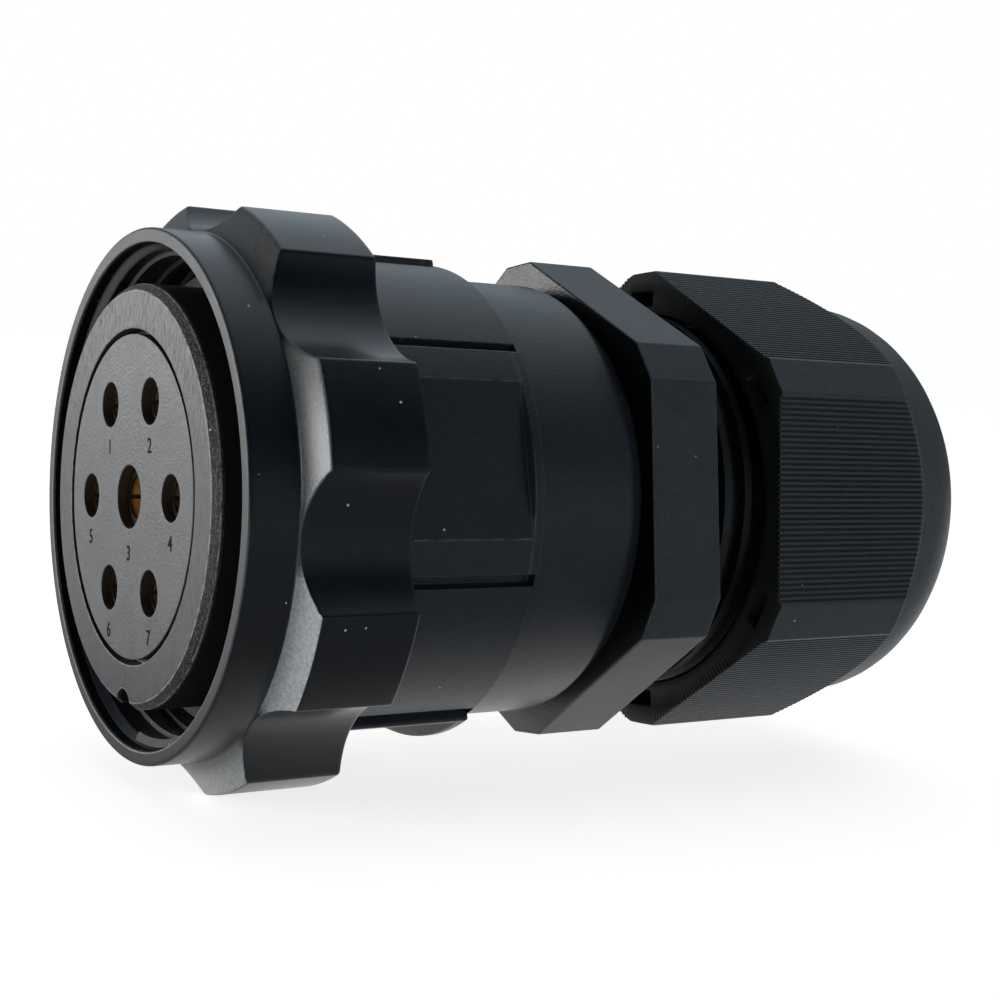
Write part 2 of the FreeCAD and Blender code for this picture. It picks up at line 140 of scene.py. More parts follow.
class NodeBench:
    """Small helper that adds and joins the nodes of one tree."""

    def __init__(self, tree: bpy.types.NodeTree) -> None:
        """Keep the tree that the nodes go into."""
        self.tree = tree

    def feed(self, socket: Socket, value: Any) -> None:
        """Link an input to an output, or set it to a plain value.

        Args:
            socket: The input socket.
            value: Output socket or plain value.
        """
        if isinstance(value, Socket):
            self.tree.links.new(value, socket)
        else:
            socket.default_value = value

    def add(self, kind: str, inputs: Optional[dict[Union[str, int], Any]] = None,
            **settings: Any) -> bpy.types.Node:
        """Add a node.

        Args:
            kind: Blender's name of the node type.
            inputs: Input name or index to a plain value or to an output socket.
            settings: Attributes of the node.

        Returns:
            The new node.
        """
        node = self.tree.nodes.new(kind)
        for key, value in settings.items():
            setattr(node, key, value)
        for key, value in (inputs or {}).items():
            self.feed(node.inputs[key], value)
        return node

    def math(self, operation: str, *values: Feed) -> Socket:
        """Add a Math node and return its output."""
        return self.add("ShaderNodeMath", dict(enumerate(values)), operation=operation).outputs[0]

    def product(self, first: Feed, *factors: Feed) -> Socket:
        """Multiply values and sockets.

        Args:
            first: First factor.
            factors: The other factors.

        Returns:
            The product's socket.
        """
        for factor in factors:
            first = self.math("MULTIPLY", first, factor)
        return first

    def total(self, first: Feed, *terms: Feed) -> Socket:
        """Add values and sockets, and hold the sum between 0 and 1.

        Args:
            first: First term.
            terms: The other terms.

        Returns:
            The sum's socket.
        """
        for term in terms:
            first = self.math("ADD", first, term)
        first.node.use_clamp = True
        return first

    def mix(self, factor: Feed, first: Feed, second: Feed) -> Socket:
        """Mix two colours.

        Args:
            factor: Share of the second colour.
            first: Colour or socket.
            second: Colour or socket.

        Returns:
            The mixed colour's socket.
        """
        node = self.add("ShaderNodeMix", {"Factor": factor}, data_type="RGBA")
        for place, value in zip(MIX_COLOURS, (first, second)):
            self.feed(node.inputs[place], value if isinstance(value, Socket) else (*value, 1.0))
        return node.outputs[MIX_RESULT]

    def ramp(self, value: Socket, low: float, high: float) -> Socket:
        """Smooth step of a value.

        Args:
            value: Socket to read.
            low: Value that gives 0.
            high: Value that gives 1.

        Returns:
            The stepped value's socket.
        """
        limits = {"Value": value, "From Min": low, "From Max": high}
        return self.add("ShaderNodeMapRange", limits, interpolation_type="SMOOTHSTEP").outputs["Result"]

    def noise(self, place: Socket, scale: Feed, detail: float, roughness: float = 0.5) -> Socket:
        """Add a noise.

        Args:
            place: Coordinates to read.
            scale: Features to the metre.
            detail: Number of finer layers.
            roughness: Strength of the finer layers.

        Returns:
            The noise value's socket.
        """
        inputs = {"Vector": place, "Scale": scale, "Detail": detail, "Roughness": roughness}
        return self.add("ShaderNodeTexNoise", inputs).outputs["Fac"]

    def bump(self, height: Socket, distance: float, **under: Socket) -> Socket:
        """Add a bump of so many millimetres, over the Normal of another one where that is given."""
        return self.add("ShaderNodeBump", {"Height": height, "Distance": distance * MM, **under}).outputs[0]

    def attribute(self, name: str) -> Socket:
        """Read a number that the mesh carries."""
        return self.add("ShaderNodeAttribute", attribute_name=name).outputs["Fac"]

    def place(self, kind: str = "Object") -> Socket:
        """Read the coordinates of one kind."""
        return self.add("ShaderNodeTexCoord").outputs[kind]

    def parts(self, vector: Socket) -> bpy.types.NodeOutputs:
        """Split a vector into X, Y and Z."""
        return self.add("ShaderNodeSeparateXYZ", {0: vector}).outputs

    def effect(self, group: bpy.types.NodeTree, place: Socket, **values: float) -> bpy.types.NodeOutputs:
        """Add a shared effect at a place, with its inputs set, and return its outputs."""
        return self.add("ShaderNodeGroup", {"Vector": place, **values}, node_tree=group).outputs

    def surface(self, kind: str, inputs: dict[Union[str, int], Any]) -> None:
        """Add the shader of a material and join it to the output."""
        self.add("ShaderNodeOutputMaterial", {"Surface": self.add(kind, inputs).outputs[0]})


class EffectBench(NodeBench):
    """Bench of a shared shader group with a Vector input, number inputs and number outputs."""

    def __init__(self, name: str, inputs: dict[str, float], outputs: Sequence[str]) -> None:
        """Start the group.

        Args:
            name: Name of the group.
            inputs: Number inputs with their default values.
            outputs: Names of the number outputs.
        """
        super().__init__(bpy.data.node_groups.new(name, "ShaderNodeTree"))
        face = self.tree.interface
        face.new_socket("Vector", in_out="INPUT", socket_type="NodeSocketVector")
        for key, value in inputs.items():
            face.new_socket(key, in_out="INPUT", socket_type="NodeSocketFloat").default_value = value
        for key in outputs:
            face.new_socket(key, in_out="OUTPUT", socket_type="NodeSocketFloat")
        self.source = self.add("NodeGroupInput").outputs
        self.target = self.add("NodeGroupOutput").inputs


class SharedEffects:
    """Shader node groups that several finishes use."""

    def __init__(self) -> None:
        """Build each group once."""
        self.grain = self.make_grain()
        self.specks = self.make_specks()
        self.wear = self.make_wear()
        self.strokes = self.make_strokes()

    @staticmethod
    def make_grain() -> bpy.types.NodeTree:
        """Fine moulded grain: a height and a slow drift in tone.

        Returns:
            The group.
        """
        bench = EffectBench("fine_grain", {"Size": 0.3}, ("Height", "Tone"))
        place = bench.source["Vector"]
        per_metre = bench.math("DIVIDE", 1.0 / MM, bench.source["Size"])
        slow = bench.math("MULTIPLY", per_metre, DRIFT_SCALE)
        bench.feed(bench.target["Height"], bench.noise(place, per_metre, detail=3.0, roughness=0.6))
        bench.feed(bench.target["Tone"], bench.noise(place, slow, detail=4.0, roughness=0.65))
        return bench.tree

    @staticmethod
    def make_specks() -> bpy.types.NodeTree:
        """Scattered dust specks: a mask that is 1 on a speck.

        Returns:
            The group.
        """
        bench = EffectBench("dust_specks", {"Spacing": 2.0, "Share": 0.3, "Radius": 0.1}, ("Mask",))
        per_metre = bench.math("DIVIDE", 1.0 / MM, bench.source["Spacing"])
        cells = bench.add("ShaderNodeTexVoronoi", {"Vector": bench.source["Vector"], "Scale": per_metre})
        chance = bench.add("ShaderNodeSeparateColor", {"Color": cells.outputs["Color"]}).outputs
        present = bench.math("LESS_THAN", chance[0], bench.source["Share"])
        size = bench.math("MULTIPLY", chance[1], bench.source["Radius"])
        inside = bench.math("LESS_THAN", cells.outputs["Distance"], size)
        bench.feed(bench.target["Mask"], bench.product(present, inside))
        return bench.tree

    @staticmethod
    def make_wear() -> bpy.types.NodeTree:
        """Rubbed edges: a broken mask along the rounded edges.

        Returns:
            The group.
        """
        bench = EffectBench("edge_wear", {"Amount": 0.5}, ("Mask",))
        noise = bench.noise(bench.source["Vector"], WEAR_SCALE / MM, detail=4.0)
        edge = bench.ramp(bench.attribute(EDGE_ATTRIBUTE), *WEAR_EDGE)
        broken = bench.ramp(noise, *WEAR_BREAK)
        bench.feed(bench.target["Mask"], bench.product(edge, broken, bench.source["Amount"]))
        return bench.tree

    @staticmethod
    def make_strokes() -> bpy.types.NodeTree:
        """Short fine strokes along Z: a height that follows the stretched vector.

        Returns:
            The group.
        """
        bench = EffectBench("fine_strokes", {"Length": 3.0, "Width": 0.15}, ("Height",))
        parts = bench.parts(bench.source["Vector"])
        sides = {"X": "Width", "Y": "Width", "Z": "Length"}
        scaled = {axis: bench.math("DIVIDE", parts[axis], bench.source[size]) for axis, size in sides.items()}
        joined = bench.add("ShaderNodeCombineXYZ", scaled).outputs[0]
        noise = bench.noise(joined, 1.0 / MM, detail=2.0)
        bench.feed(bench.target["Height"], bench.ramp(noise, *STROKE_STEP))
        return bench.tree


def blank_bench(owner: Union[bpy.types.Material, bpy.types.World]) -> NodeBench:
    """Empty the node tree of a material or world.

    Args:
        owner: The material or world.

    Returns:
        A bench for its tree.
    """
    owner.use_nodes = True
    owner.node_tree.nodes.clear()
    return NodeBench(owner.node_tree)


def shaded(colour: Colour, factor: float) -> Colour:
    """Colour made lighter or darker by a factor."""
    return colour[0] * factor, colour[1] * factor, colour[2] * factor


@dataclass(frozen=True)
class BlackFinish:
    """Black surface with grain, dust specks, rubbed edges, a second colour on marked faces and painted shade
    in gaps and grooves; lengths are in millimetres.
    """

    name: str
    colour: Colour
    pale: Colour = (0.32, 0.33, 0.33)
    roughness: float = 0.35
    roughness_drift: float = 0.12
    specular: float = 0.5
    grain_size: float = 0.25
    grain_height: float = 0.01
    grain_tone: float = 0.0
    tone_drift: float = 0.3
    speck_spacing: float = 2.2
    speck_share: float = 0.0
    speck_radius: float = 0.09
    edge_wear: float = 0.0
    stroke_height: float = 0.0
    stroke_length: float = 3.0
    stroke_width: float = 0.2
    zone_colour: Colour = (0.02, 0.02, 0.02)
    zone_roughness: float = 0.5
    zone_specks: float = 0.0
    # painted shade: how far marked faces in gaps and grooves are darkened towards black, and their roughness
    painted_shade_share: float = 0.9
    painted_shade_roughness: float = 1.0

    def tone(self, bench: NodeBench, grain: bpy.types.NodeOutputs, zone: Socket, painted_shade: Socket) -> Socket:
        """Colour under the specks and rubbed edges.

        Args:
            bench: Bench of the material.
            grain: Outputs of the grain.
            zone: Where the second colour is.
            painted_shade: Where painted shade darkens the colour, in gaps and grooves.

        Returns:
            The colour's socket.
        """
        dark = shaded(self.colour, 1.0 - self.tone_drift)
        light = shaded(self.colour, 1.0 + self.tone_drift)
        tips = bench.ramp(grain["Height"], *TIP_STEP)
        tone = bench.mix(bench.ramp(grain["Tone"], *TONE_STEP), dark, light)
        tone = bench.mix(bench.product(tips, self.grain_tone), tone, shaded(self.colour, TIP_LIGHT))
        faint, strong = (shaded(self.zone_colour, share) for share in MOTTLE)
        tone = bench.mix(zone, tone, bench.mix(tips, faint, strong))
        # painted shade: faces marked as lying in gaps and grooves are darkened towards black
        return bench.mix(bench.product(painted_shade, self.painted_shade_share), tone, BLACK)

    def material(self, effects: SharedEffects) -> bpy.types.Material:
        """Build the material.

        Args:
            effects: The shared shader groups.

        Returns:
            The new material.
        """
        made = bpy.data.materials.new(self.name)
        bench = blank_bench(made)
        place = bench.place()
        grain = bench.effect(effects.grain, place, Size=self.grain_size)
        specks = bench.effect(effects.specks, place, Spacing=self.speck_spacing, Share=self.speck_share,
                              Radius=self.speck_radius)
        wear = bench.effect(effects.wear, place, Amount=self.edge_wear)
        strokes = bench.effect(effects.strokes, place, Length=self.stroke_length, Width=self.stroke_width)
        zone = bench.attribute(ZONE_ATTRIBUTE)
        painted_shade = bench.attribute(PAINTED_SHADE_ATTRIBUTE)
        grit = bench.product(bench.ramp(grain["Height"], *GRIT_STEP), self.zone_specks, zone)
        marked = bench.total(specks["Mask"], wear["Mask"], grit)
        drift = bench.math("SUBTRACT", grain["Tone"], 0.5)
        rough = bench.total(
            bench.math("MULTIPLY_ADD", drift, self.roughness_drift * 2.0, self.roughness),
            bench.product(marked, MARK_ROUGHNESS),
            bench.product(zone, self.zone_roughness - self.roughness),
            bench.product(painted_shade, self.painted_shade_roughness - self.roughness),
        )
        fine = bench.bump(grain["Height"], self.grain_height)
        bench.surface("ShaderNodeBsdfPrincipled", {
            "Base Color": bench.mix(marked, self.tone(bench, grain, zone, painted_shade), self.pale),
            "Roughness": rough,
            "Normal": bench.bump(strokes["Height"], self.stroke_height, Normal=fine),
            "Specular IOR Level": self.specular,
        })
        return made


@dataclass(frozen=True)
class MetalFinish:
    """Bare metal with tarnish, darkened at its front by painted shade; lengths are in millimetres."""

    name: str
    colour: Colour
    tarnish: Colour
    roughness: float = 0.3
    tarnish_roughness: float = 0.2
    tarnish_step: tuple[float, float] = (0.35, 0.7)
    grain_size: float = 0.6
    grain_height: float = 0.004
    painted_tip_shade: Colour = (0.012, 0.009, 0.006)
    painted_tip_from: float = -1.0
    painted_tip_to: float = -0.5

    def material(self, effects: SharedEffects) -> bpy.types.Material:
        """Build the material.

        Args:
            effects: The shared shader groups.

        Returns:
            The new material.
        """
        made = bpy.data.materials.new(self.name)
        bench = blank_bench(made)
        place = bench.place()
        grain = bench.effect(effects.grain, place, Size=self.grain_size)
        dull = bench.ramp(grain["Tone"], *self.tarnish_step)
        # painted shade: the metal turns near black towards its front, inside the contact holes
        unshaded = bench.ramp(bench.parts(place)["X"], self.painted_tip_from * MM, self.painted_tip_to * MM)
        bench.surface("ShaderNodeBsdfPrincipled", {
            "Base Color": bench.mix(unshaded, self.painted_tip_shade, bench.mix(dull, self.colour, self.tarnish)),
            "Roughness": bench.math("MULTIPLY_ADD", dull, self.tarnish_roughness, self.roughness),
            "Normal": bench.bump(grain["Height"], self.grain_height),
            "Metallic": 1.0,
        })
        return made


# second colour: painted light on the bevels of some lobes, and wear on the edge of the mouth
RING_FINISH = BlackFinish(
    "ring_satin", (0.0026, 0.0036, 0.0056), pale=(0.42, 0.43, 0.44), roughness=0.28,
    roughness_drift=0.06, grain_size=0.36, grain_height=0.008, speck_spacing=1.8, speck_share=0.4,
    speck_radius=0.09, edge_wear=0.04, zone_colour=(0.48, 0.49, 0.496), zone_roughness=0.32,
    zone_specks=0.08, grain_tone=0.2,
)
MOUTH_FINISH = BlackFinish(
    "mouth_scraped", (0.006, 0.0064, 0.0076), pale=(0.4, 0.41, 0.42), roughness=0.34, grain_size=0.35,
    grain_height=0.03, speck_spacing=0.9, speck_share=0.3, speck_radius=0.25,
)
# second colour: painted light on the walls that end the spanner flats
SHELL_FINISH = BlackFinish(
    "shell_satin", (0.0095, 0.0113, 0.014), roughness=0.38, roughness_drift=0.05, grain_size=0.42,
    grain_height=0.045, tone_drift=0.12, speck_spacing=2.4, speck_share=0.3, speck_radius=0.06,
    edge_wear=0.1, zone_colour=(0.042, 0.046, 0.051), zone_roughness=0.42, grain_tone=0.3,
)
SLEEVE_FINISH = BlackFinish(
    "sleeve_turned", (0.02, 0.0207, 0.022), pale=(0.5, 0.51, 0.52), roughness=0.41,
    grain_size=0.25, grain_height=0.012, speck_spacing=2.6, speck_share=0.12, speck_radius=0.06,
    edge_wear=0.5, stroke_height=0.05, stroke_length=2.0, zone_colour=(0.01, 0.01, 0.011),
    zone_roughness=0.55, zone_specks=0.18,
)
INSERT_FINISH = BlackFinish(
    "insulator_grain", (0.042, 0.0435, 0.047), roughness=0.42, roughness_drift=0.3, grain_size=0.32,
    grain_height=0.06, speck_spacing=1.6, speck_share=0.3, speck_radius=0.07,
    zone_colour=(0.055, 0.034, 0.019), zone_roughness=0.6,
)
# second colour: painted light on the nut's dome and on the crests of its ribs
GLAND_FINISH = BlackFinish(
    "gland_spark", (0.0193, 0.0224, 0.0262), roughness=0.49, roughness_drift=0.06, grain_size=0.42,
    grain_height=0.06, tone_drift=0.15, speck_spacing=2.8, speck_share=0.25, speck_radius=0.06,
    edge_wear=0.12, zone_colour=(0.043, 0.047, 0.05), zone_roughness=0.49, grain_tone=0.25,
    painted_shade_share=0.96, painted_shade_roughness=0.36,
)
NUT_FINISH = replace(GLAND_FINISH, name="nut_spark", painted_shade_roughness=0.85)
RUBBER_FINISH = BlackFinish(
    "seal_rubber", (0.018, 0.018, 0.018), roughness=0.75, grain_size=0.3, grain_height=0.012,
)
DIGIT_FINISH = BlackFinish(
    "stamped_digit", (0.004, 0.004, 0.004), roughness=0.8, specular=0.1, grain_size=0.15,
    grain_height=0.02,
)
# painted shade: the contacts are near black at their front, inside the holes
BRASS_FINISH = MetalFinish(
    "contact_brass", (0.62, 0.44, 0.21), (0.27, 0.175, 0.085), roughness=0.42, painted_tip_from=1.15, painted_tip_to=1.6,
)
# painted highlight: a brighter copy of the brass for the centre contact's glint
PAINTED_GLINT_BRASS_FINISH = MetalFinish(
    "centre_brass_painted_glint", (0.98, 0.74, 0.32), (0.7, 0.48, 0.2), roughness=0.36, painted_tip_from=1.2, painted_tip_to=1.9,
)
STEEL_FINISH = MetalFinish("spring_steel", (0.5, 0.5, 0.51), (0.3, 0.3, 0.31), roughness=0.35)


class Finishes:
    """The materials, built once from the finishes."""

    def __init__(self) -> None:
        """Build the shared groups and every material."""
        effects = SharedEffects()
        self.ring = RING_FINISH.material(effects)
        self.mouth = MOUTH_FINISH.material(effects)
        self.shell = SHELL_FINISH.material(effects)
        self.sleeve = SLEEVE_FINISH.material(effects)
        self.insert = INSERT_FINISH.material(effects)
        self.gland = GLAND_FINISH.material(effects)
        self.nut = NUT_FINISH.material(effects)
        self.rubber = RUBBER_FINISH.material(effects)
        self.digit = DIGIT_FINISH.material(effects)
        self.brass = BRASS_FINISH.material(effects)
        self.painted_glint_brass = PAINTED_GLINT_BRASS_FINISH.material(effects)
        self.steel = STEEL_FINISH.material(effects)


def spoke(angle: float, radius: float, x: float) -> Vector:
    """Point round the axis, in metres.

    Args:
        angle: Degrees from the -Y side over the top.
        radius: Distance from the axis in millimetres.
        x: Place along the axis in millimetres.

    Returns:
        The point.
    """
    turn = math.radians(angle)
    return Vector((x, -radius * math.cos(turn), radius * math.sin(turn))) * MM


def angle_of(place: Vector) -> float:
    """Degrees of a place from the -Y side over the top."""
    return math.degrees(math.atan2(place.z, -place.y))


def radius_of(place: Vector) -> float:
    """Distance of a place from the axis."""
    return math.hypot(place.y, place.z)


def angle_off(angle: float, centre: float) -> float:
    """Signed turn in degrees from a centre, between -180 and 180."""
    return (angle - centre + 180.0) % 360.0 - 180.0


def held(value: float, least: float = 0.0) -> float:
    """Value held between a least value and 1."""
    return min(1.0, max(least, value))


def spread(start: float, stop: float, count: int) -> list[float]:
    """Evenly spaced values from start to stop, both included."""
    return [start + (stop - start) * step / (count - 1) for step in range(count)]


def both_sides(half: Sequence[float]) -> list[float]:
    """Values from 0 upwards, with their negatives ahead of them."""
    return [-value for value in reversed(half[1:])] + list(half)


def thinned(values: Iterable[float], gap: float) -> list[float]:
    """Sort values and leave out those that are too close to the one before.

    Args:
        values: The values.
        gap: Least step between two values.

    Returns:
        The sorted values that are left.
    """
    ordered = sorted(values)
    return [ordered[0]] + [b for a, b in zip(ordered, ordered[1:]) if b - a > gap]


def smoothed(radius_at: Callable[[float], float], angle: float, width: float) -> float:
    """Radius averaged over a small turn, so that corners round a little.

    Args:
        radius_at: Radius as a function of the angle.
        angle: Angle in degrees.
        width: Turn to average over, each way, in degrees.

    Returns:
        The averaged radius.
    """
    shares = (-1.0, -0.5, 0.0, 0.5, 1.0)
    return sum(radius_at(angle + share * width) for share in shares) / len(shares)


def rounded(profile: Profile) -> Profile:
    """Round the corners of a closed profile.

    Args:
        profile: Corners as (x, radius, rounding) in millimetres.

    Returns:
        Points as (x, radius, edge), where edge is 1 in the middle of a rounded corner.
    """
    points: Profile = []
    for index, (x, radius, rounding) in enumerate(profile):
        if rounding <= 0.0:
            points.append((x, radius, 0.0))
            continue
        corner = Vector((x, radius))
        before = Vector(profile[index - 1][:2]) - corner
        after = Vector(profile[(index + 1) % len(profile)][:2]) - corner
        back = before.normalized()
        ahead = after.normalized()
        start = corner + back * min(rounding, CORNER_SHARE * before.length)
        end = corner + ahead * min(rounding, CORNER_SHARE * after.length)
        rest_before = corner + back * min(REST_REACH * rounding, REST_SHARE * before.length)
        rest_after = corner + ahead * min(REST_REACH * rounding, REST_SHARE * after.length)
        points.append((rest_before.x, rest_before.y, 0.0))
        for step in range(EDGE_STEPS + 1):
            share = step / EDGE_STEPS
            point = start * (1 - share) ** 2 + corner * (2 * share * (1 - share)) + end * share**2
            points.append((point.x, point.y, 4 * share * (1 - share)))
        points.append((rest_after.x, rest_after.y, 0.0))
    return points


def sector_mesh(name: str, angles: Sequence[float], profile_at: ProfileAt,
                capped: bool = False) -> bpy.types.Mesh:
    """Sweep a closed profile round part of the axis.

    Args:
        name: Name of the mesh.
        angles: Angles of the columns in degrees.
        profile_at: Closed profile at an angle, with the same number of corners everywhere.
        capped: Whether the first and last column are closed.

    Returns:
        The mesh, with the edge marks on its points.
    """
    columns = [rounded(profile_at(angle)) for angle in angles]
    rows = len(columns[0])
    points = [spoke(angle, radius, x) for angle, column in zip(angles, columns) for x, radius, _ in column]
    faces: list[tuple[int, ...]] = []
    if capped:
        faces += [tuple(range(rows)), tuple(range(len(points) - rows, len(points)))]
    for column in range(len(columns) - 1):
        here = column * rows
        there = here + rows
        for row in range(rows):
            above = (row + 1) % rows
            faces.append((here + row, there + row, there + above, here + above))
    mesh = bpy.data.meshes.new(name)
    mesh.from_pydata(points, [], faces)
    edge = mesh.attributes.new(EDGE_ATTRIBUTE, "FLOAT", "POINT")
    edge.data.foreach_set("value", [weight for column in columns for _, _, weight in column])
    return mesh


def link_object(name: str, data: bpy.types.ID) -> bpy.types.Object:
    """Make an object of some data and put it into the scene.

    Args:
        name: Name of the object.
        data: Mesh, curve, lamp or camera.

    Returns:
        The object.
    """
    obj = bpy.data.objects.new(name, data)
    bpy.context.scene.collection.objects.link(obj)
    return obj


def plain_mesh(obj: bpy.types.Object) -> bpy.types.Mesh:
    """Mesh of an object as its modifiers or its curve make it.

    Args:
        obj: The object to read.

    Returns:
        A new mesh, with nothing live.
    """
    depsgraph = bpy.context.evaluated_depsgraph_get()
    evaluated = obj.evaluated_get(depsgraph)
    return bpy.data.meshes.new_from_object(evaluated, preserve_all_data_layers=True, depsgraph=depsgraph)


def curve_mesh(curve: bpy.types.Curve) -> bpy.types.Mesh:
    """Mesh of a curve or of a text.

    Args:
        curve: The curve, which no object uses yet.

    Returns:
        A new mesh.
    """
    obj = link_object(curve.name, curve)
    mesh = plain_mesh(obj)
    bpy.data.objects.remove(obj)
    return mesh


def settle_mesh(mesh: bpy.types.Mesh) -> None:
    """Merge doubles, turn the faces outwards and shade them smooth.

    Args:
        mesh: The mesh to settle.
    """
    work = bmesh.new()
    work.from_mesh(mesh)
    bmesh.ops.remove_doubles(work, verts=work.verts, dist=MERGE_DISTANCE)
    bmesh.ops.dissolve_degenerate(work, edges=work.edges, dist=MERGE_DISTANCE / 2)
    bmesh.ops.recalc_face_normals(work, faces=work.faces)
    work.to_mesh(mesh)
    work.free()
    mesh.polygons.foreach_set("use_smooth", [True] * len(mesh.polygons))
    mesh.update()


def mark_faces(mesh: bpy.types.Mesh, attribute: str, weight: FaceWeight) -> None:
    """Write a weight on every face of a mesh.

    Args:
        mesh: The mesh to mark.
        attribute: Name of the attribute that a finish reads.
        weight: Weight of a face, from its middle in millimetres and its normal.
    """
    layer = mesh.attributes.new(attribute, "FLOAT", "FACE")
    weights = [float(weight(face.center / MM, face.normal)) for face in mesh.polygons]
    layer.data.foreach_set("value", weights)


def dress(mesh: bpy.types.Mesh, finish: bpy.types.Material) -> None:
    """Give a mesh its only material."""
    mesh.materials.clear()
    mesh.materials.append(finish)


class PieceTree:
    """Geometry Nodes tree with named inputs, whose result becomes a plain object."""

    def __init__(self, name: str, inputs: dict[str, str]) -> None:
        """Start the tree.

        Args:
            name: Name of the tree.
            inputs: Name of each input with its socket type.
        """
        self.tree = bpy.data.node_groups.new(name, "GeometryNodeTree")
        face = self.tree.interface
        self.identifiers: dict[str, str] = {}
        for key, kind in {**inputs, "Finish": "NodeSocketMaterial"}.items():
            socket = face.new_socket(key, in_out="INPUT", socket_type=kind)
            self.identifiers[key] = socket.identifier
        face.new_socket("Geometry", in_out="OUTPUT", socket_type="NodeSocketGeometry")
        self.bench = NodeBench(self.tree)
        self.source = self.bench.add("NodeGroupInput").outputs

    def end(self, geometry: Socket) -> None:
        """End the tree with the material of the realized geometry."""
        dressed = {"Geometry": geometry, "Material": self.source["Finish"]}
        self.bench.add("NodeGroupOutput", {0: self.bench.add("GeometryNodeSetMaterial", dressed).outputs[0]})

    def run(self, name: str, start: bpy.types.Mesh, values: dict[str, Any]) -> bpy.types.Object:
        """Run the tree on a mesh and make the result a plain object.

        Args:
            name: Name of the piece.
            start: Mesh that goes into the tree.
            values: Values of the named inputs.

        Returns:
            The finished object.
        """
        obj = link_object(name, start)
        modifier = obj.modifiers.new(self.tree.name, "NODES")
        modifier.node_group = self.tree
        for key, value in values.items():
            modifier[self.identifiers[key]] = value
        mesh = plain_mesh(obj)
        obj.modifiers.remove(modifier)
        obj.data = mesh
        bpy.data.meshes.remove(start)
        mesh.name = name
        settle_mesh(mesh)
        return obj


class RoundPattern(PieceTree):
    """Repeats a sector round the axis and joins the copies."""

    def __init__(self) -> None:
        """Build the tree."""
        super().__init__("round_pattern", {"Geometry": "NodeSocketGeometry", "Count": "NodeSocketInt"})
        bench = self.bench
        count = self.source["Count"]
        places = bench.add("GeometryNodeMeshLine", {"Count": count, "Offset": (0.0, 0.0, 0.0)})
        pitch = bench.math("DIVIDE", math.tau, count)
        turn = bench.math("MULTIPLY", bench.add("GeometryNodeInputIndex").outputs[0], pitch)
        euler = bench.add("ShaderNodeCombineXYZ", {"X": turn})
        rotation = bench.add("FunctionNodeEulerToRotation", {0: euler.outputs[0]})
        copies = bench.add(
            "GeometryNodeInstanceOnPoints",
            {"Points": places.outputs[0], "Instance": self.source["Geometry"],
             "Rotation": rotation.outputs[0]},
        )
        joined = bench.add("GeometryNodeRealizeInstances", {0: copies.outputs[0]})
        merged = bench.add(
            "GeometryNodeMergeByDistance", {"Geometry": joined.outputs[0], "Distance": MERGE_DISTANCE}
        )
        self.end(merged.outputs[0])

    def repeat(self, name: str, sector: bpy.types.Mesh, count: int,
               finish: bpy.types.Material) -> bpy.types.Object:
        """Repeat a sector so many times in the round and make the result a plain object."""
        return self.run(name, sector, {"Count": count, "Finish": finish})


@dataclass(frozen=True)
class ThreadForm:
    """Thread on a cylinder; lengths in millimetres, section from its inner side to its outer side."""

    turns: float
    radius: float
    pitch: float
    height: float
    inner_width: float
    outer_width: float
    start: float


class ThreadRidge(PieceTree):
    """Sweeps a thread's section along a helix about the axis."""

    resolution = 120                 # points to a turn
    crease = math.radians(40)        # edges that turn more than this stay sharp

    def __init__(self) -> None:
        """Build the tree."""
        names = ("turns", "radius", "pitch", "height", "inner_width", "outer_width", "start")
        super().__init__("thread_ridge", {name: "NodeSocketFloat" for name in names})
        bench = self.bench
        source = self.source
        helix = bench.add(
            "GeometryNodeCurveSpiral",
            {"Resolution": self.resolution, "Rotations": source["turns"],
             "Start Radius": source["radius"], "End Radius": source["radius"],
             "Height": bench.math("MULTIPLY", source["turns"], source["pitch"])},
        )
        upright = bench.add("GeometryNodeSetCurveNormal", {"Curve": helix.outputs[0]}, mode="Z_UP")
        section = bench.add(
            "GeometryNodeCurvePrimitiveQuadrilateral",
            {"Height": source["height"], "Bottom Width": source["inner_width"],
             "Top Width": source["outer_width"], "Offset": 0.0},
            mode="TRAPEZOID",
        )
        standing = bench.add(
            "GeometryNodeTransform",
            {"Geometry": section.outputs[0], "Rotation": (0.0, 0.0, math.pi / 2)},
        )
        ridge = bench.add(
            "GeometryNodeCurveToMesh",
            {"Curve": upright.outputs[0], "Profile Curve": standing.outputs[0], "Fill Caps": True},
        )
        shift = bench.add("ShaderNodeCombineXYZ", {"X": source["start"]})
        laid = bench.add(
            "GeometryNodeTransform",
            {"Geometry": ridge.outputs[0], "Rotation": (0.0, math.pi / 2, 0.0),
             "Translation": shift.outputs[0]},
        )
        self.end(bench.add("GeometryNodeRealizeInstances", {0: laid.outputs[0]}).outputs[0])

    def wind(self, piece: Piece, form: ThreadForm, finish: bpy.types.Material, shade: float) -> None:
        """Wind a ridge and make it a piece.

        Args:
            piece: What the piece is.
            form: Sizes of the thread.
            finish: Material of the ridge.
            shade: How much painted shade darkens the ridge, from 0 to 1.
        """
        values: dict[str, Any] = {name: size * MM for name, size in vars(form).items()}
        values.update(turns=form.turns, Finish=finish)
        obj = self.run(piece.name, bpy.data.meshes.new("helix"), values)
        obj.data.set_sharp_from_angle(angle=self.crease)
        # painted shade: the whole ridge is darkened by the given share
        mark_faces(obj.data, PAINTED_SHADE_ATTRIBUTE, lambda middle, normal: shade)
        piece.declare(obj)


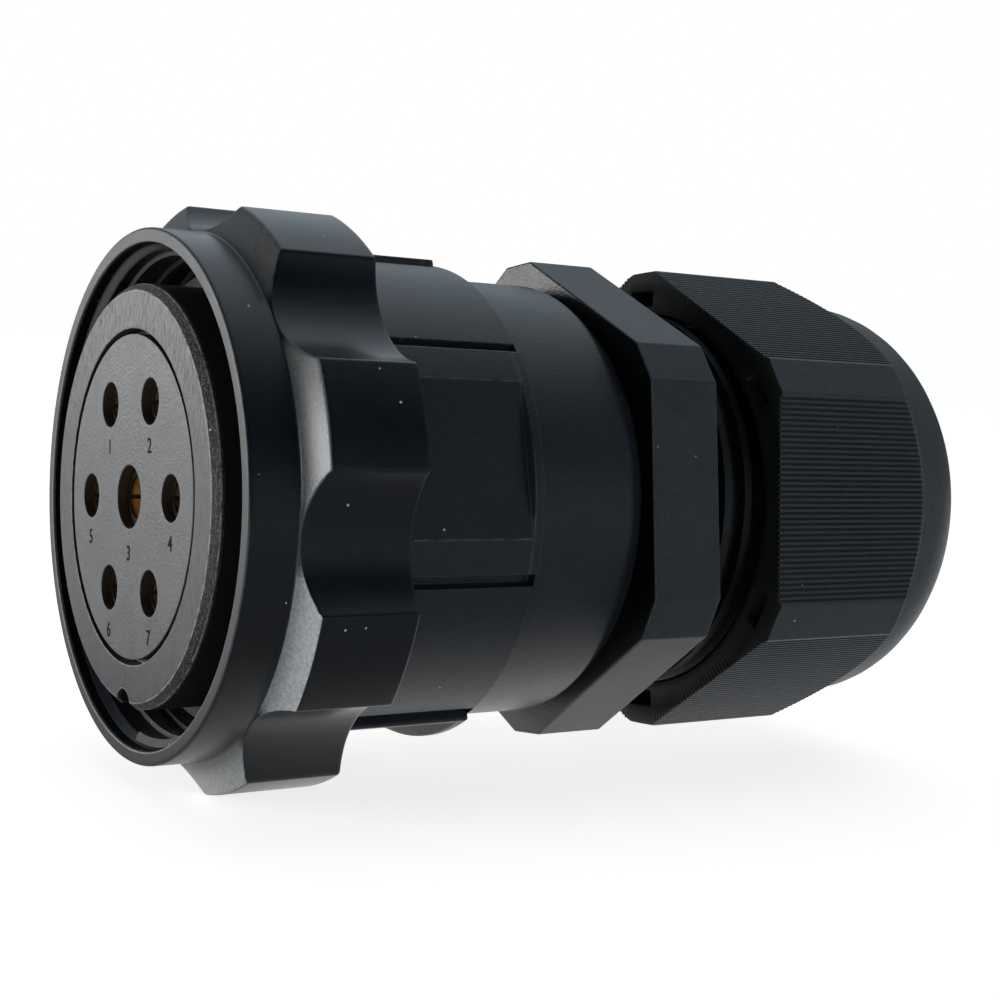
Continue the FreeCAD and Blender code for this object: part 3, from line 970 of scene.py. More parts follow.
@dataclass
class Workshop:
    """What every sub-assembly needs to build its pieces."""

    finishes: Finishes
    pattern: RoundPattern
    ridge: ThreadRidge
    turned_copies: int = 12
    turned_columns: int = 10

    def swept(self, piece: Piece, angles: Sequence[float], profile_at: ProfileAt, copies: int,
              finish: bpy.types.Material) -> bpy.types.Object:
        """Sweep a sector and repeat it round the axis.

        Args:
            piece: What the piece is.
            angles: Angles of the sector's columns in degrees.
            profile_at: Closed profile at an angle.
            copies: Number of sectors in the round.
            finish: Material of the piece.

        Returns:
            The object, not yet declared.
        """
        sector = sector_mesh("sector", angles, profile_at)
        return self.pattern.repeat(piece.name, sector, copies, finish)

    def turned(self, piece: Piece, profile: Profile, finish: bpy.types.Material) -> None:
        """Build a plain turned piece.

        Args:
            piece: What the piece is.
            profile: Closed profile in millimetres.
            finish: Material of the piece.
        """
        angles = spread(0.0, 360.0 / self.turned_copies, self.turned_columns)
        piece.declare(self.swept(piece, angles, lambda angle: profile, self.turned_copies, finish))


@dataclass
class CouplingRing:
    """Fluted ring that turns on the shell; sizes in millimetres, turns in degrees."""

    front: float = 0.9
    rear: float = 19.5
    rim: float = 30.0
    bevel_start: float = 6.5
    bevel_length: float = 1.65
    land: float = 33.8
    lobes: int = 8
    flute: float = 11.0
    flute_rise: float = 0.15
    corner_turn: float = 0.3
    lip_bore: float = 28.4
    thread_start: float = 2.4
    thread_end: float = 12.0
    thread: float = 27.6
    relief: float = 28.1
    flange_front: float = 15.2
    bore: float = 25.88
    thread_inset: float = 0.9
    thread_pitch: float = 3.0
    thread_turns: float = 3.0
    thread_height: float = 0.9
    thread_root: float = 1.7
    thread_crest: float = 0.9
    thread_shade: float = 0.45
    front_shade: float = 0.3
    front_facing: float = -0.8
    front_reach: float = 0.2
    lip_scuff: float = 0.26
    lip_reach: float = 0.3
    lip_width: float = 0.22
    bevel_light_least: float = 0.09
    bevel_facing: float = -0.6
    bevel_reach: float = 0.1
    bevel_light_turn: float = -32.0       # lobes near this angle get the most painted light on their bevels
    bevel_light_near: float = 15.0
    bevel_light_fade: float = 50.0
    bevel_light_rise: float = 0.5
    bevel_light_ramp: float = 0.8
    before_corner: float = 1.6
    after_corner: float = 1.8
    flute_columns: int = 12
    land_columns: int = 5
    corner_columns: tuple[float, ...] = (-1.0, -0.55, -0.3, -0.15, 0.0, 0.15, 0.3, 0.55, 1.0)

    def pitch(self) -> float:
        """Turn from one lobe to the next."""
        return 360.0 / self.lobes

    def flute_centre(self) -> float:
        """Distance of a flute's own axis from the ring's axis."""
        return self.rim + self.flute_rise + self.flute

    def sharp_radius(self, angle: float) -> float:
        """Radius of the lands and flutes with sharp corners.

        Args:
            angle: Angle in degrees.

        Returns:
            The radius.
        """
        centre = self.flute_centre()
        off = math.radians((angle + self.pitch() / 2) % self.pitch() - self.pitch() / 2)
        inside = self.flute**2 - (centre * math.sin(off)) ** 2
        if inside <= 0.0:
            return self.land
        return min(self.land, centre * math.cos(off) - math.sqrt(inside))

    def outer_radius(self, angle: float) -> float:
        """Radius of the lands and flutes with rounded corners."""
        return smoothed(self.sharp_radius, angle, self.corner_turn)

    def profile(self, angle: float) -> Profile:
        """Closed profile of the ring.

        Args:
            angle: Angle in degrees.

        Returns:
            Corners with their roundings.
        """
        outer = self.outer_radius(angle)
        climb = (outer - self.rim) / (self.land - self.rim)
        lip_step = self.lip_bore - self.thread
        return [
            (self.front, self.lip_bore, 0.2),
            (self.front, self.rim, 0.35),
            (self.bevel_start, self.rim, 0.25),
            (self.bevel_start + self.bevel_length * climb, outer, 0.3),
            (self.rear, outer, 0.4),
            (self.rear, self.bore, 0.2),
            (self.flange_front, self.bore, 0.2),
            (self.flange_front, self.relief, 0.15),
            (self.thread_end, self.relief, 0.15),
            (self.thread_end, self.thread, 0.15),
            (self.thread_start + lip_step, self.thread, 0.2),
            (self.thread_start, self.lip_bore, 0.2),
        ]

    def columns(self) -> list[float]:
        """Angles of one flute and half a land on each side.

        Returns:
            Angles in degrees, dense at the corners.
        """
        centre = self.flute_centre()
        cosine = (self.land**2 + centre**2 - self.flute**2) / (2 * self.land * centre)
        corner = math.degrees(math.acos(cosine))
        near = [corner + off for off in self.corner_columns]
        flute = spread(0.0, corner - self.before_corner, self.flute_columns)
        land = spread(corner + self.after_corner, self.pitch() / 2, self.land_columns)
        return both_sides(flute + near + land)

    def lip_wear_and_bevel_light(self, middle: Vector, normal: Vector) -> float:
        """How much second colour a face gets: painted light, fully on the bevels of the lobes on the lower
        front side, and wear, partly on the edge of the mouth.

        Args:
            middle: Middle of the face in millimetres.
            normal: Normal of the face.

        Returns:
            The weight from 0 to 1.
        """
        radius = radius_of(middle)
        if middle.x < self.front + self.lip_reach and abs(radius - self.lip_bore) < self.lip_width:
            return self.lip_scuff
        bevel_end = self.bevel_start + self.bevel_length
        on_bevel = self.bevel_start - self.bevel_reach < middle.x < bevel_end + self.bevel_reach
        if not on_bevel or normal.x > self.bevel_facing or radius < self.rim + self.flute_rise:
            return 0.0
        # painted light: bevels of the lobes near one turn are paler, fading with the turn away from it
        angle = angle_of(middle)
        lobe = (math.floor(angle / self.pitch()) + 0.5) * self.pitch()
        away = abs(angle_off(lobe, self.bevel_light_turn))
        rise = self.outer_radius(angle) - self.rim
        side = held(1.0 - (away - self.bevel_light_near) / self.bevel_light_fade, self.bevel_light_least)
        return side * held((rise - self.bevel_light_rise) / self.bevel_light_ramp)

    def mouth_front_painted_shade(self, middle: Vector, normal: Vector) -> float:
        """Painted shade on a face: partly on the front of the mouth."""
        ahead = middle.x < self.front + self.front_reach and normal.x < self.front_facing
        return self.front_shade if ahead else 0.0

    def build(self, shop: Workshop) -> None:
        """Build the ring and the thread in its mouth.

        Args:
            shop: The tools and finishes.
        """
        piece = Piece("ring_dressed", Body.RING, Slot.RING, ("coupling_ring",))
        obj = shop.swept(piece, self.columns(), self.profile, self.lobes, shop.finishes.ring)
        mark_faces(obj.data, ZONE_ATTRIBUTE, self.lip_wear_and_bevel_light)
        mark_faces(obj.data, PAINTED_SHADE_ATTRIBUTE, self.mouth_front_painted_shade)
        piece.declare(obj)
        thread = ThreadForm(
            self.thread_turns, self.thread, self.thread_pitch, self.thread_height,
            inner_width=self.thread_crest, outer_width=self.thread_root,
            start=self.thread_start + self.thread_inset,
        )
        piece = Piece("ring_thread", Body.RING, Slot.RING)
        shop.ridge.wind(piece, thread, shop.finishes.mouth, self.thread_shade)


@dataclass
class BodyShell:
    """Main shell with four pads and their spanner flats; sizes in millimetres, turns in degrees."""

    front: float = 11.0
    journal: float = 25.8
    bore: float = 21.5
    sleeve_seat: float = 31.0
    cavity: float = 24.6
    groove_front: float = 13.7
    groove_rear: float = 14.9
    groove_floor: float = 24.6
    shoulder: float = 19.8
    radius: float = 28.4
    end: float = 37.35
    chamfer: float = 0.7
    pad: float = 29.15
    pad_end: float = 36.6
    pad_flat: float = 27.8
    flat_end: float = 35.35
    flat_ramp: float = 0.15
    flat_turn: float = 9.4
    wide_half: float = 25.5
    narrow_half: float = 18.6
    slot_width: float = 1.6
    slot_depth: float = 1.2
    wall_turn: float = 0.06         # half the turn over which a pad's side wall climbs
    line_turn: float = 0.13         # half the turn of the rubbed line beside a flat
    line_start: float = 0.5
    clear_before: float = 1.0       # no rubbed edges from here ahead of a flat's end
    clear_after: float = 0.15       # to here behind a pad's end
    clear_rise: float = 0.02
    wall_reach: float = 0.3
    wall_facing: float = -0.5
    column_count: int = 73
    column_gap: float = 0.005
    wall_columns: tuple[float, ...] = (-0.6, -0.2, -0.06, -0.03, 0.0, 0.03, 0.06, 0.2, 0.6)
    line_columns: tuple[float, ...] = (-0.4, -0.12, 0.12, 0.4)

    def slot_turn(self) -> float:
        """Turn that a groove beside a pad takes."""
        return math.degrees(self.slot_width / self.radius)

    def flat_half(self) -> float:
        """Half the turn that a spanner flat takes."""
        return math.degrees(math.acos(self.pad_flat / self.pad))

    def pads(self) -> list[tuple[float, float]]:
        """Places of the pads.

        Returns:
            Centre angle and half angle of each pad.
        """
        first = self.flat_turn + LIE_ROLL
        halves = (self.wide_half, self.narrow_half) * 2
        return [(first + 90.0 * side, half) for side, half in enumerate(halves)]

    def pad_radius(self, angle: float, with_flat: bool) -> float:
        """Outside radius where the pads are.

        Args:
            angle: Angle in degrees.
            with_flat: Whether the spanner flats are cut at this place along the axis.

        Returns:
            The radius with sharp walls.
        """
        for centre, half in self.pads():
            off = abs(angle_off(angle, centre))
            if off < half:
                flat = self.pad_flat / math.cos(math.radians(off))
                return min(self.pad, flat) if with_flat else self.pad
            if off < half + self.slot_turn():
                return self.radius - self.slot_depth
        return self.radius

    def profile(self, angle: float) -> Profile:
        """Closed profile of the shell.

        Args:
            angle: Angle in degrees.

        Returns:
            Corners with their roundings.
        """
        level = smoothed(lambda turn: self.pad_radius(turn, True), angle, self.wall_turn)
        rim = smoothed(lambda turn: self.pad_radius(turn, False), angle, self.wall_turn)
        return [
            (self.front, self.bore, 0.2),
            (self.front, self.journal, 0.3),
            (self.groove_front, self.journal, 0.1),
            (self.groove_front, self.groove_floor, 0.1),
            (self.groove_rear, self.groove_floor, 0.1),
            (self.groove_rear, self.journal, 0.1),
            (self.shoulder, self.journal, 0.15),
            (self.shoulder, level, 0.3),
            (self.flat_end - self.flat_ramp, level, 0.15),
            (self.flat_end + STEEP_STEP, rim, 0.2),
            (self.pad_end, rim, 0.3),
            (self.pad_end + STEEP_STEP, self.radius, 0.2),
            (self.end - self.chamfer, self.radius, 0.25),
            (self.end, self.radius - self.chamfer, 0.2),
            (self.end, self.cavity, 0.2),
            (self.sleeve_seat, self.cavity, 0.2),
            (self.sleeve_seat, self.bore, 0.2),
        ]

    def columns(self) -> list[float]:
        """Angles of half a round.

        Returns:
            Angles in degrees, dense at the walls of the pads and beside the flats.
        """
        first = self.pads()[0][0]
        start = first - 45.0
        stop = start + 180.0
        angles = set(spread(start, stop, self.column_count))
        for centre, half in self.pads() + [(first + 360.0, self.wide_half)]:
            for side in (-1.0, 1.0):
                for wall in (half, half + self.slot_turn()):
                    angles.update(centre + side * wall + off for off in self.wall_columns)
                angles.update(centre + side * self.flat_half() + off for off in self.line_columns)
        return thinned((angle for angle in angles if start <= angle <= stop), self.column_gap)

    def mark_flat_lines(self, mesh: bpy.types.Mesh) -> None:
        """Mark the lines beside the spanner flats as rubbed, and leave the lines behind the pads plain.

        Args:
            mesh: The mesh of the shell.
        """
        for vertex, mark in zip(mesh.vertices, mesh.attributes[EDGE_ATTRIBUTE].data):
            place = vertex.co / MM
            radius = radius_of(place)
            behind = self.flat_end - self.clear_before < place.x < self.pad_end + self.clear_after
            if behind and radius < self.radius + self.clear_rise:
                mark.value = 0.0
            if not self.shoulder + self.line_start < place.x < self.flat_end or radius < self.radius:
                continue
            for centre, _ in self.pads():
                off = abs(angle_off(angle_of(place), centre))
                if abs(off - self.flat_half()) < self.line_turn:
                    mark.value = 1.0

    def flat_wall_painted_light(self, middle: Vector, normal: Vector) -> bool:
        """Whether a face lies on the wall that ends a spanner flat, which gets painted light."""
        return abs(middle.x - self.flat_end) < self.wall_reach and normal.x < self.wall_facing

    def build(self, shop: Workshop) -> None:
        """Build the shell.

        Args:
            shop: The tools and finishes.
        """
        piece = Piece("shell_dressed", Body.SHELL, Slot.SHELL, ("body_shell",))
        obj = shop.swept(piece, self.columns(), self.profile, 2, shop.finishes.shell)
        self.mark_flat_lines(obj.data)
        mark_faces(obj.data, ZONE_ATTRIBUTE, self.flat_wall_painted_light)
        piece.declare(obj)


@dataclass
class RearShell:
    """Smooth tube between the shell and the gland; sizes in millimetres."""

    spigot_front: float = 33.9
    spigot: float = 24.5
    front: float = 37.35
    radius: float = 26.9
    end: float = 52.0
    shoulder_round: float = 2.4
    shoulder_points: int = 9
    chamber: float = 22.0
    thread_front: float = 41.5
    thread: float = 24.25

    def shoulder(self) -> Profile:
        """Points of the rounded shoulder.

        Returns:
            Corners without a rounding of their own.
        """
        centre_x = self.end - self.shoulder_round
        centre_radius = self.radius - self.shoulder_round
        turns = [math.radians(turn) for turn in spread(0.0, 90.0, self.shoulder_points)]
        return [
            (centre_x + self.shoulder_round * math.sin(turn),
             centre_radius + self.shoulder_round * math.cos(turn), 0.0)
            for turn in turns
        ]

    def profile(self) -> Profile:
        """Closed profile of the tube.

        Returns:
            Corners with their roundings.
        """
        return [
            (self.spigot_front, self.chamber, 0.2),
            (self.spigot_front, self.spigot, 0.2),
            (self.front, self.spigot, 0.1),
            (self.front, self.radius, 0.25),
            *self.shoulder(),
            (self.end, self.thread, 0.1),
            (self.thread_front, self.thread, 0.15),
            (self.thread_front, self.chamber, 0.15),
        ]

    def build(self, shop: Workshop) -> None:
        """Build the tube with the shop's tools and finishes."""
        piece = Piece("tube_dressed", Body.SHELL, Slot.SHELL, ("rear_shell",))
        shop.turned(piece, self.profile(), shop.finishes.shell)


@dataclass
class MatingFace:
    """Sleeve, front insulator and digits of the mating end; sizes in millimetres, turns in degrees."""

    sleeve: float = 23.8
    sleeve_chamfer: float = 0.8
    sleeve_tail: float = 21.4
    shell_front: float = 11.0
    sleeve_rear: float = 33.6
    face_bore: float = 18.8
    face_depth: float = 2.2
    front_bore: float = 18.25
    inner: float = 19.9
    insert_shoulder: float = 6.0
    keyway: float = 2.2
    keyway_end: float = 9.4
    keyway_turn: float = -92.9
    keyway_corner: float = 0.2
    keyway_margin: float = 1.0
    keyway_gap: float = 1.6
    keyway_columns: int = 41
    round_columns: int = 110
    scuff_inset: float = 0.12
    scuff_reach: float = 0.3
    face_setback: float = 0.1
    face: float = 18.2
    face_edge: float = 0.12
    joint_edge: float = 0.05
    edge_facets: int = 2
    plate_points: int = 144
    hole_points: int = 48
    plate_crease: float = 12.0
    insert_rear: float = 9.0
    insulator: float = 19.8
    centre_number: int = 3
    contact_circle: float = 12.1
    contact_hole: float = 2.55
    centre_hole: float = 3.55
    wall_reach: float = 0.1
    collar_front: float = 7.55
    contact_collar: float = 3.05
    centre_collar: float = 4.35
    digit_size: float = 2.375
    digit_weight: float = 0.03
    digit_rise: float = 0.03
    digit_drop: float = 4.9
    centre_digit_drop: float = 6.4

    def contacts(self) -> dict[int, tuple[float, float]]:
        """Places of the contacts on the face.

        Returns:
            Contact number to its place to the right and upwards.
        """
        turns = {1: 120.0, 2: 60.0, 5: 180.0, 4: 0.0, 6: 240.0, 7: 300.0}
        places = {
            number: (self.contact_circle * math.cos(math.radians(turn)),
                     self.contact_circle * math.sin(math.radians(turn)))
            for number, turn in turns.items()
        }
        return {**places, self.centre_number: (0.0, 0.0)}

    def keyed(self, usual: float, centre: float) -> dict[int, float]:
        """Contact number to a size that the centre contact has different."""
        return {number: centre if number == self.centre_number else usual for number in self.contacts()}

    def sleeve_radius(self, angle: float) -> float:
        """Outside radius of the sleeve, with the keyway cut in.

        Args:
            angle: Angle in degrees.

        Returns:
            The radius with sharp corners.
        """
        off = math.radians(angle_off(angle, self.keyway_turn + LIE_ROLL))
        inside = self.keyway**2 - (self.sleeve * math.sin(off)) ** 2
        if inside <= 0.0 or math.cos(off) < 0.0:
            return self.sleeve
        return min(self.sleeve, self.sleeve * math.cos(off) - math.sqrt(inside))

    def sleeve_profile(self, angle: float) -> Profile:
        """Closed profile of the sleeve.

        Args:
            angle: Angle in degrees.

        Returns:
            Corners with their roundings.
        """
        outer = smoothed(self.sleeve_radius, angle, self.keyway_corner)
        edge = min(self.sleeve - self.sleeve_chamfer, outer)
        return [
            (0.0, self.face_bore, 0.12),
            (0.0, edge, 0.15),
            (max(STEEP_STEP, outer - edge), outer, 0.2),
            (self.keyway_end, outer, 0.1),
            (self.keyway_end + STEEP_STEP, self.sleeve, 0.1),
            (self.shell_front, self.sleeve, 0.1),
            (self.shell_front, self.sleeve_tail, 0.1),
            (self.sleeve_rear, self.sleeve_tail, 0.2),
            (self.sleeve_rear, self.inner, 0.2),
            (self.insert_shoulder, self.inner, 0.1),
            (self.insert_shoulder, self.front_bore, 0.1),
            (self.face_depth, self.front_bore, 0.1),
            (self.face_depth, self.face_bore, 0.1),
        ]

    def sleeve_columns(self) -> list[float]:
        """Angles of the whole round.

        Returns:
            Angles in degrees, dense at the keyway.
        """
        centre = self.keyway_turn + LIE_ROLL
        half = math.degrees(math.asin(self.keyway / self.sleeve))
        near = spread(-half - self.keyway_margin, half + self.keyway_margin, self.keyway_columns)
        far = spread(half + self.keyway_gap, 360.0 - half - self.keyway_gap, self.round_columns)
        angles = [centre + off for off in near + far]
        return angles + [angles[0] + 360.0]

    def on_sleeve_edge(self, middle: Vector, normal: Vector) -> bool:
        """Whether a face lies on the outer edge of the sleeve, which is darker and nicked."""
        inner = self.sleeve - self.sleeve_chamfer - self.scuff_inset
        return middle.x < self.sleeve_chamfer + self.scuff_reach and radius_of(middle) > inner

    def sleeve_side_painted_shade(self, middle: Vector, normal: Vector) -> bool:
        """Whether a face lies on the side of the sleeve, in the ring's mouth, which gets painted shade."""
        return middle.x > self.sleeve_chamfer + self.scuff_reach and abs(normal.x) < WALL_FACING

    def on_hole_wall(self, middle: Vector, normal: Vector) -> bool:
        """Whether a face lies on the wall of a contact hole."""
        outside = self.contact_circle + self.contact_hole + self.wall_reach
        return radius_of(middle) < outside and abs(normal.x) < WALL_FACING

    @staticmethod
    def face_matrix(front: float) -> Matrix:
        """Matrix that stands a flat drawing up on the mating face.

        Args:
            front: Place of the drawing's plane along the axis, in millimetres.

        Returns:
            The matrix: the drawing's right goes to -Y, its up to +Z and its front to -X, with the roll.
        """
        upright = Matrix(((0, 0, -1, 0), (-1, 0, 0, 0), (0, 1, 0, 0), (0, 0, 0, 1)))
        roll = Matrix.Rotation(math.radians(-LIE_ROLL), 4, "X")
        return Matrix.Translation((front * MM, 0, 0)) @ roll @ upright

    @staticmethod
    def add_circle(curve: bpy.types.Curve, place: tuple[float, float], radius: float, points: int) -> None:
        """Add a circle to a flat curve.

        Args:
            curve: The curve to add to.
            place: Centre to the right and upwards, in millimetres.
            radius: Radius in millimetres.
            points: Number of points.
        """
        spline = curve.splines.new("POLY")
        spline.points.add(points - 1)
        for index, point in enumerate(spline.points):
            turn = math.tau * index / points
            across = place[0] + radius * math.cos(turn)
            up = place[1] + radius * math.sin(turn)
            point.co = (across * MM, up * MM, 0.0, 1.0)
        spline.use_cyclic_u = True

    def plate(self, ends: tuple[float, float], outer: float, holes: dict[int, float],
              edge: float) -> bpy.types.Mesh:
        """Round plate with the contact holes.

        Args:
            ends: Front and rear of the plate along the axis.
            outer: Outside radius.
            holes: Contact number to hole radius.
            edge: Rounding of the edges.

        Returns:
            The mesh, standing in its place.
        """
        front, rear = ends
        curve = bpy.data.curves.new("plate", "CURVE")
        curve.dimensions = "2D"
        curve.fill_mode = "BOTH"
        curve.bevel_depth = edge * MM
        curve.bevel_resolution = self.edge_facets
        curve.extrude = ((rear - front) / 2 - edge) * MM
        self.add_circle(curve, (0.0, 0.0), outer - edge, self.plate_points)
        for number, place in self.contacts().items():
            self.add_circle(curve, place, holes[number] + edge, self.hole_points)
        mesh = curve_mesh(curve)
        mesh.transform(self.face_matrix((front + rear) / 2))
        return mesh

    def build_sleeve(self, shop: Workshop) -> None:
        """Build the sleeve with its keyway.

        Args:
            shop: The tools and finishes.
        """
        piece = Piece("sleeve_dressed", Body.SHELL, Slot.SHELL, ("insert_sleeve",))
        obj = shop.swept(piece, self.sleeve_columns(), self.sleeve_profile, 1, shop.finishes.sleeve)
        mark_faces(obj.data, ZONE_ATTRIBUTE, self.on_sleeve_edge)
        mark_faces(obj.data, PAINTED_SHADE_ATTRIBUTE, self.sleeve_side_painted_shade)
        piece.declare(obj)

    def build_insert(self, shop: Workshop) -> None:
        """Build the front insulator from its disc, its web and the flange with the collar pockets.

        Args:
            shop: The tools and finishes.
        """
        holes = self.keyed(self.contact_hole, self.centre_hole)
        pockets = self.keyed(self.contact_collar, self.centre_collar)
        plates = (
            self.plate((self.face_setback, self.insert_shoulder), self.face, holes, self.face_edge),
            self.plate((self.insert_shoulder, self.collar_front), self.insulator, holes, self.joint_edge),
            self.plate((self.collar_front, self.insert_rear), self.insulator, pockets, self.joint_edge),
        )
        work = bmesh.new()
        for plate in plates:
            work.from_mesh(plate)
        mesh = bpy.data.meshes.new("insert_dressed")
        work.to_mesh(mesh)
        work.free()
        settle_mesh(mesh)
        mesh.set_sharp_from_angle(angle=math.radians(self.plate_crease))
        dress(mesh, shop.finishes.insert)
        mark_faces(mesh, ZONE_ATTRIBUTE, self.on_hole_wall)
        piece = Piece("insert_dressed", Body.SHELL, Slot.INSULATOR, ("face_insert",))
        piece.declare(link_object(piece.name, mesh))

    def build_digits(self, shop: Workshop) -> None:
        """Build the contact numbers below their holes.

        Args:
            shop: The tools and finishes.
        """
        drops = self.keyed(self.digit_drop, self.centre_digit_drop)
        for number, (across, up) in self.contacts().items():
            text = bpy.data.curves.new(f"digit_{number}", "FONT")
            text.body = str(number)
            text.size = self.digit_size * MM
            text.align_x = "CENTER"
            text.align_y = "CENTER"
            text.extrude = self.digit_rise * MM
            text.offset = self.digit_weight * MM
            mesh = curve_mesh(text)
            mesh.transform(Matrix.Translation((across * MM, (up - drops[number]) * MM, 0.0)))
            mesh.transform(self.face_matrix(self.face_setback))
            dress(mesh, shop.finishes.digit)
            piece = Piece(f"contact_number_{number}", Body.SHELL, Slot.INSULATOR)
            piece.declare(link_object(piece.name, mesh))

    def build(self, shop: Workshop) -> None:
        """Build the mating end.

        Args:
            shop: The tools and finishes.
        """
        self.build_sleeve(shop)
        self.build_insert(shop)
        self.build_digits(shop)


@dataclass
class HexForm:
    """Hexagon with its corners cut off flat; sizes in millimetres, turns in degrees."""

    apothem: float
    corner_apothem: float
    turn: float

    def half_flat(self) -> float:
        """Half the width of a main flat."""
        half = math.radians(HEX_PITCH / 2)
        return (self.corner_apothem - self.apothem * math.cos(half)) / math.sin(half)

    def edge(self) -> float:
        """Radius over the edges."""
        return math.hypot(self.apothem, self.half_flat())

    def edge_turn(self) -> float:
        """Turn from the middle of a flat to its edge."""
        return math.degrees(math.atan2(self.half_flat(), self.apothem))

    def first(self) -> float:
        """Angle of the middle of the first flat as the connector lies."""
        return self.turn + LIE_ROLL

    def off_flat(self, angle: float) -> float:
        """Signed turn from the middle of the nearest flat."""
        return (angle - self.turn - LIE_ROLL + HEX_PITCH / 2) % HEX_PITCH - HEX_PITCH / 2

    def off_corner(self, angle: float) -> float:
        """Signed turn from the nearest corner."""
        return (angle - self.turn - LIE_ROLL) % HEX_PITCH - HEX_PITCH / 2

    def along(self, off: float) -> float:
        """Place along a flat at a turn from its middle."""
        return self.apothem * math.tan(math.radians(off))

    def radius(self, angle: float, sunk: Optional[Callable[[float], float]] = None) -> float:
        """Distance of the outline from the axis.

        Args:
            angle: Angle in degrees.
            sunk: Depth below the main flat as a function of the place along it.

        Returns:
            The radius.
        """
        off = self.off_flat(angle)
        if abs(off) <= self.edge_turn():
            depth = sunk(self.along(off)) if sunk else 0.0
            return (self.apothem - depth) / math.cos(math.radians(off))
        return self.corner_apothem / math.cos(math.radians(HEX_PITCH / 2 - abs(off)))


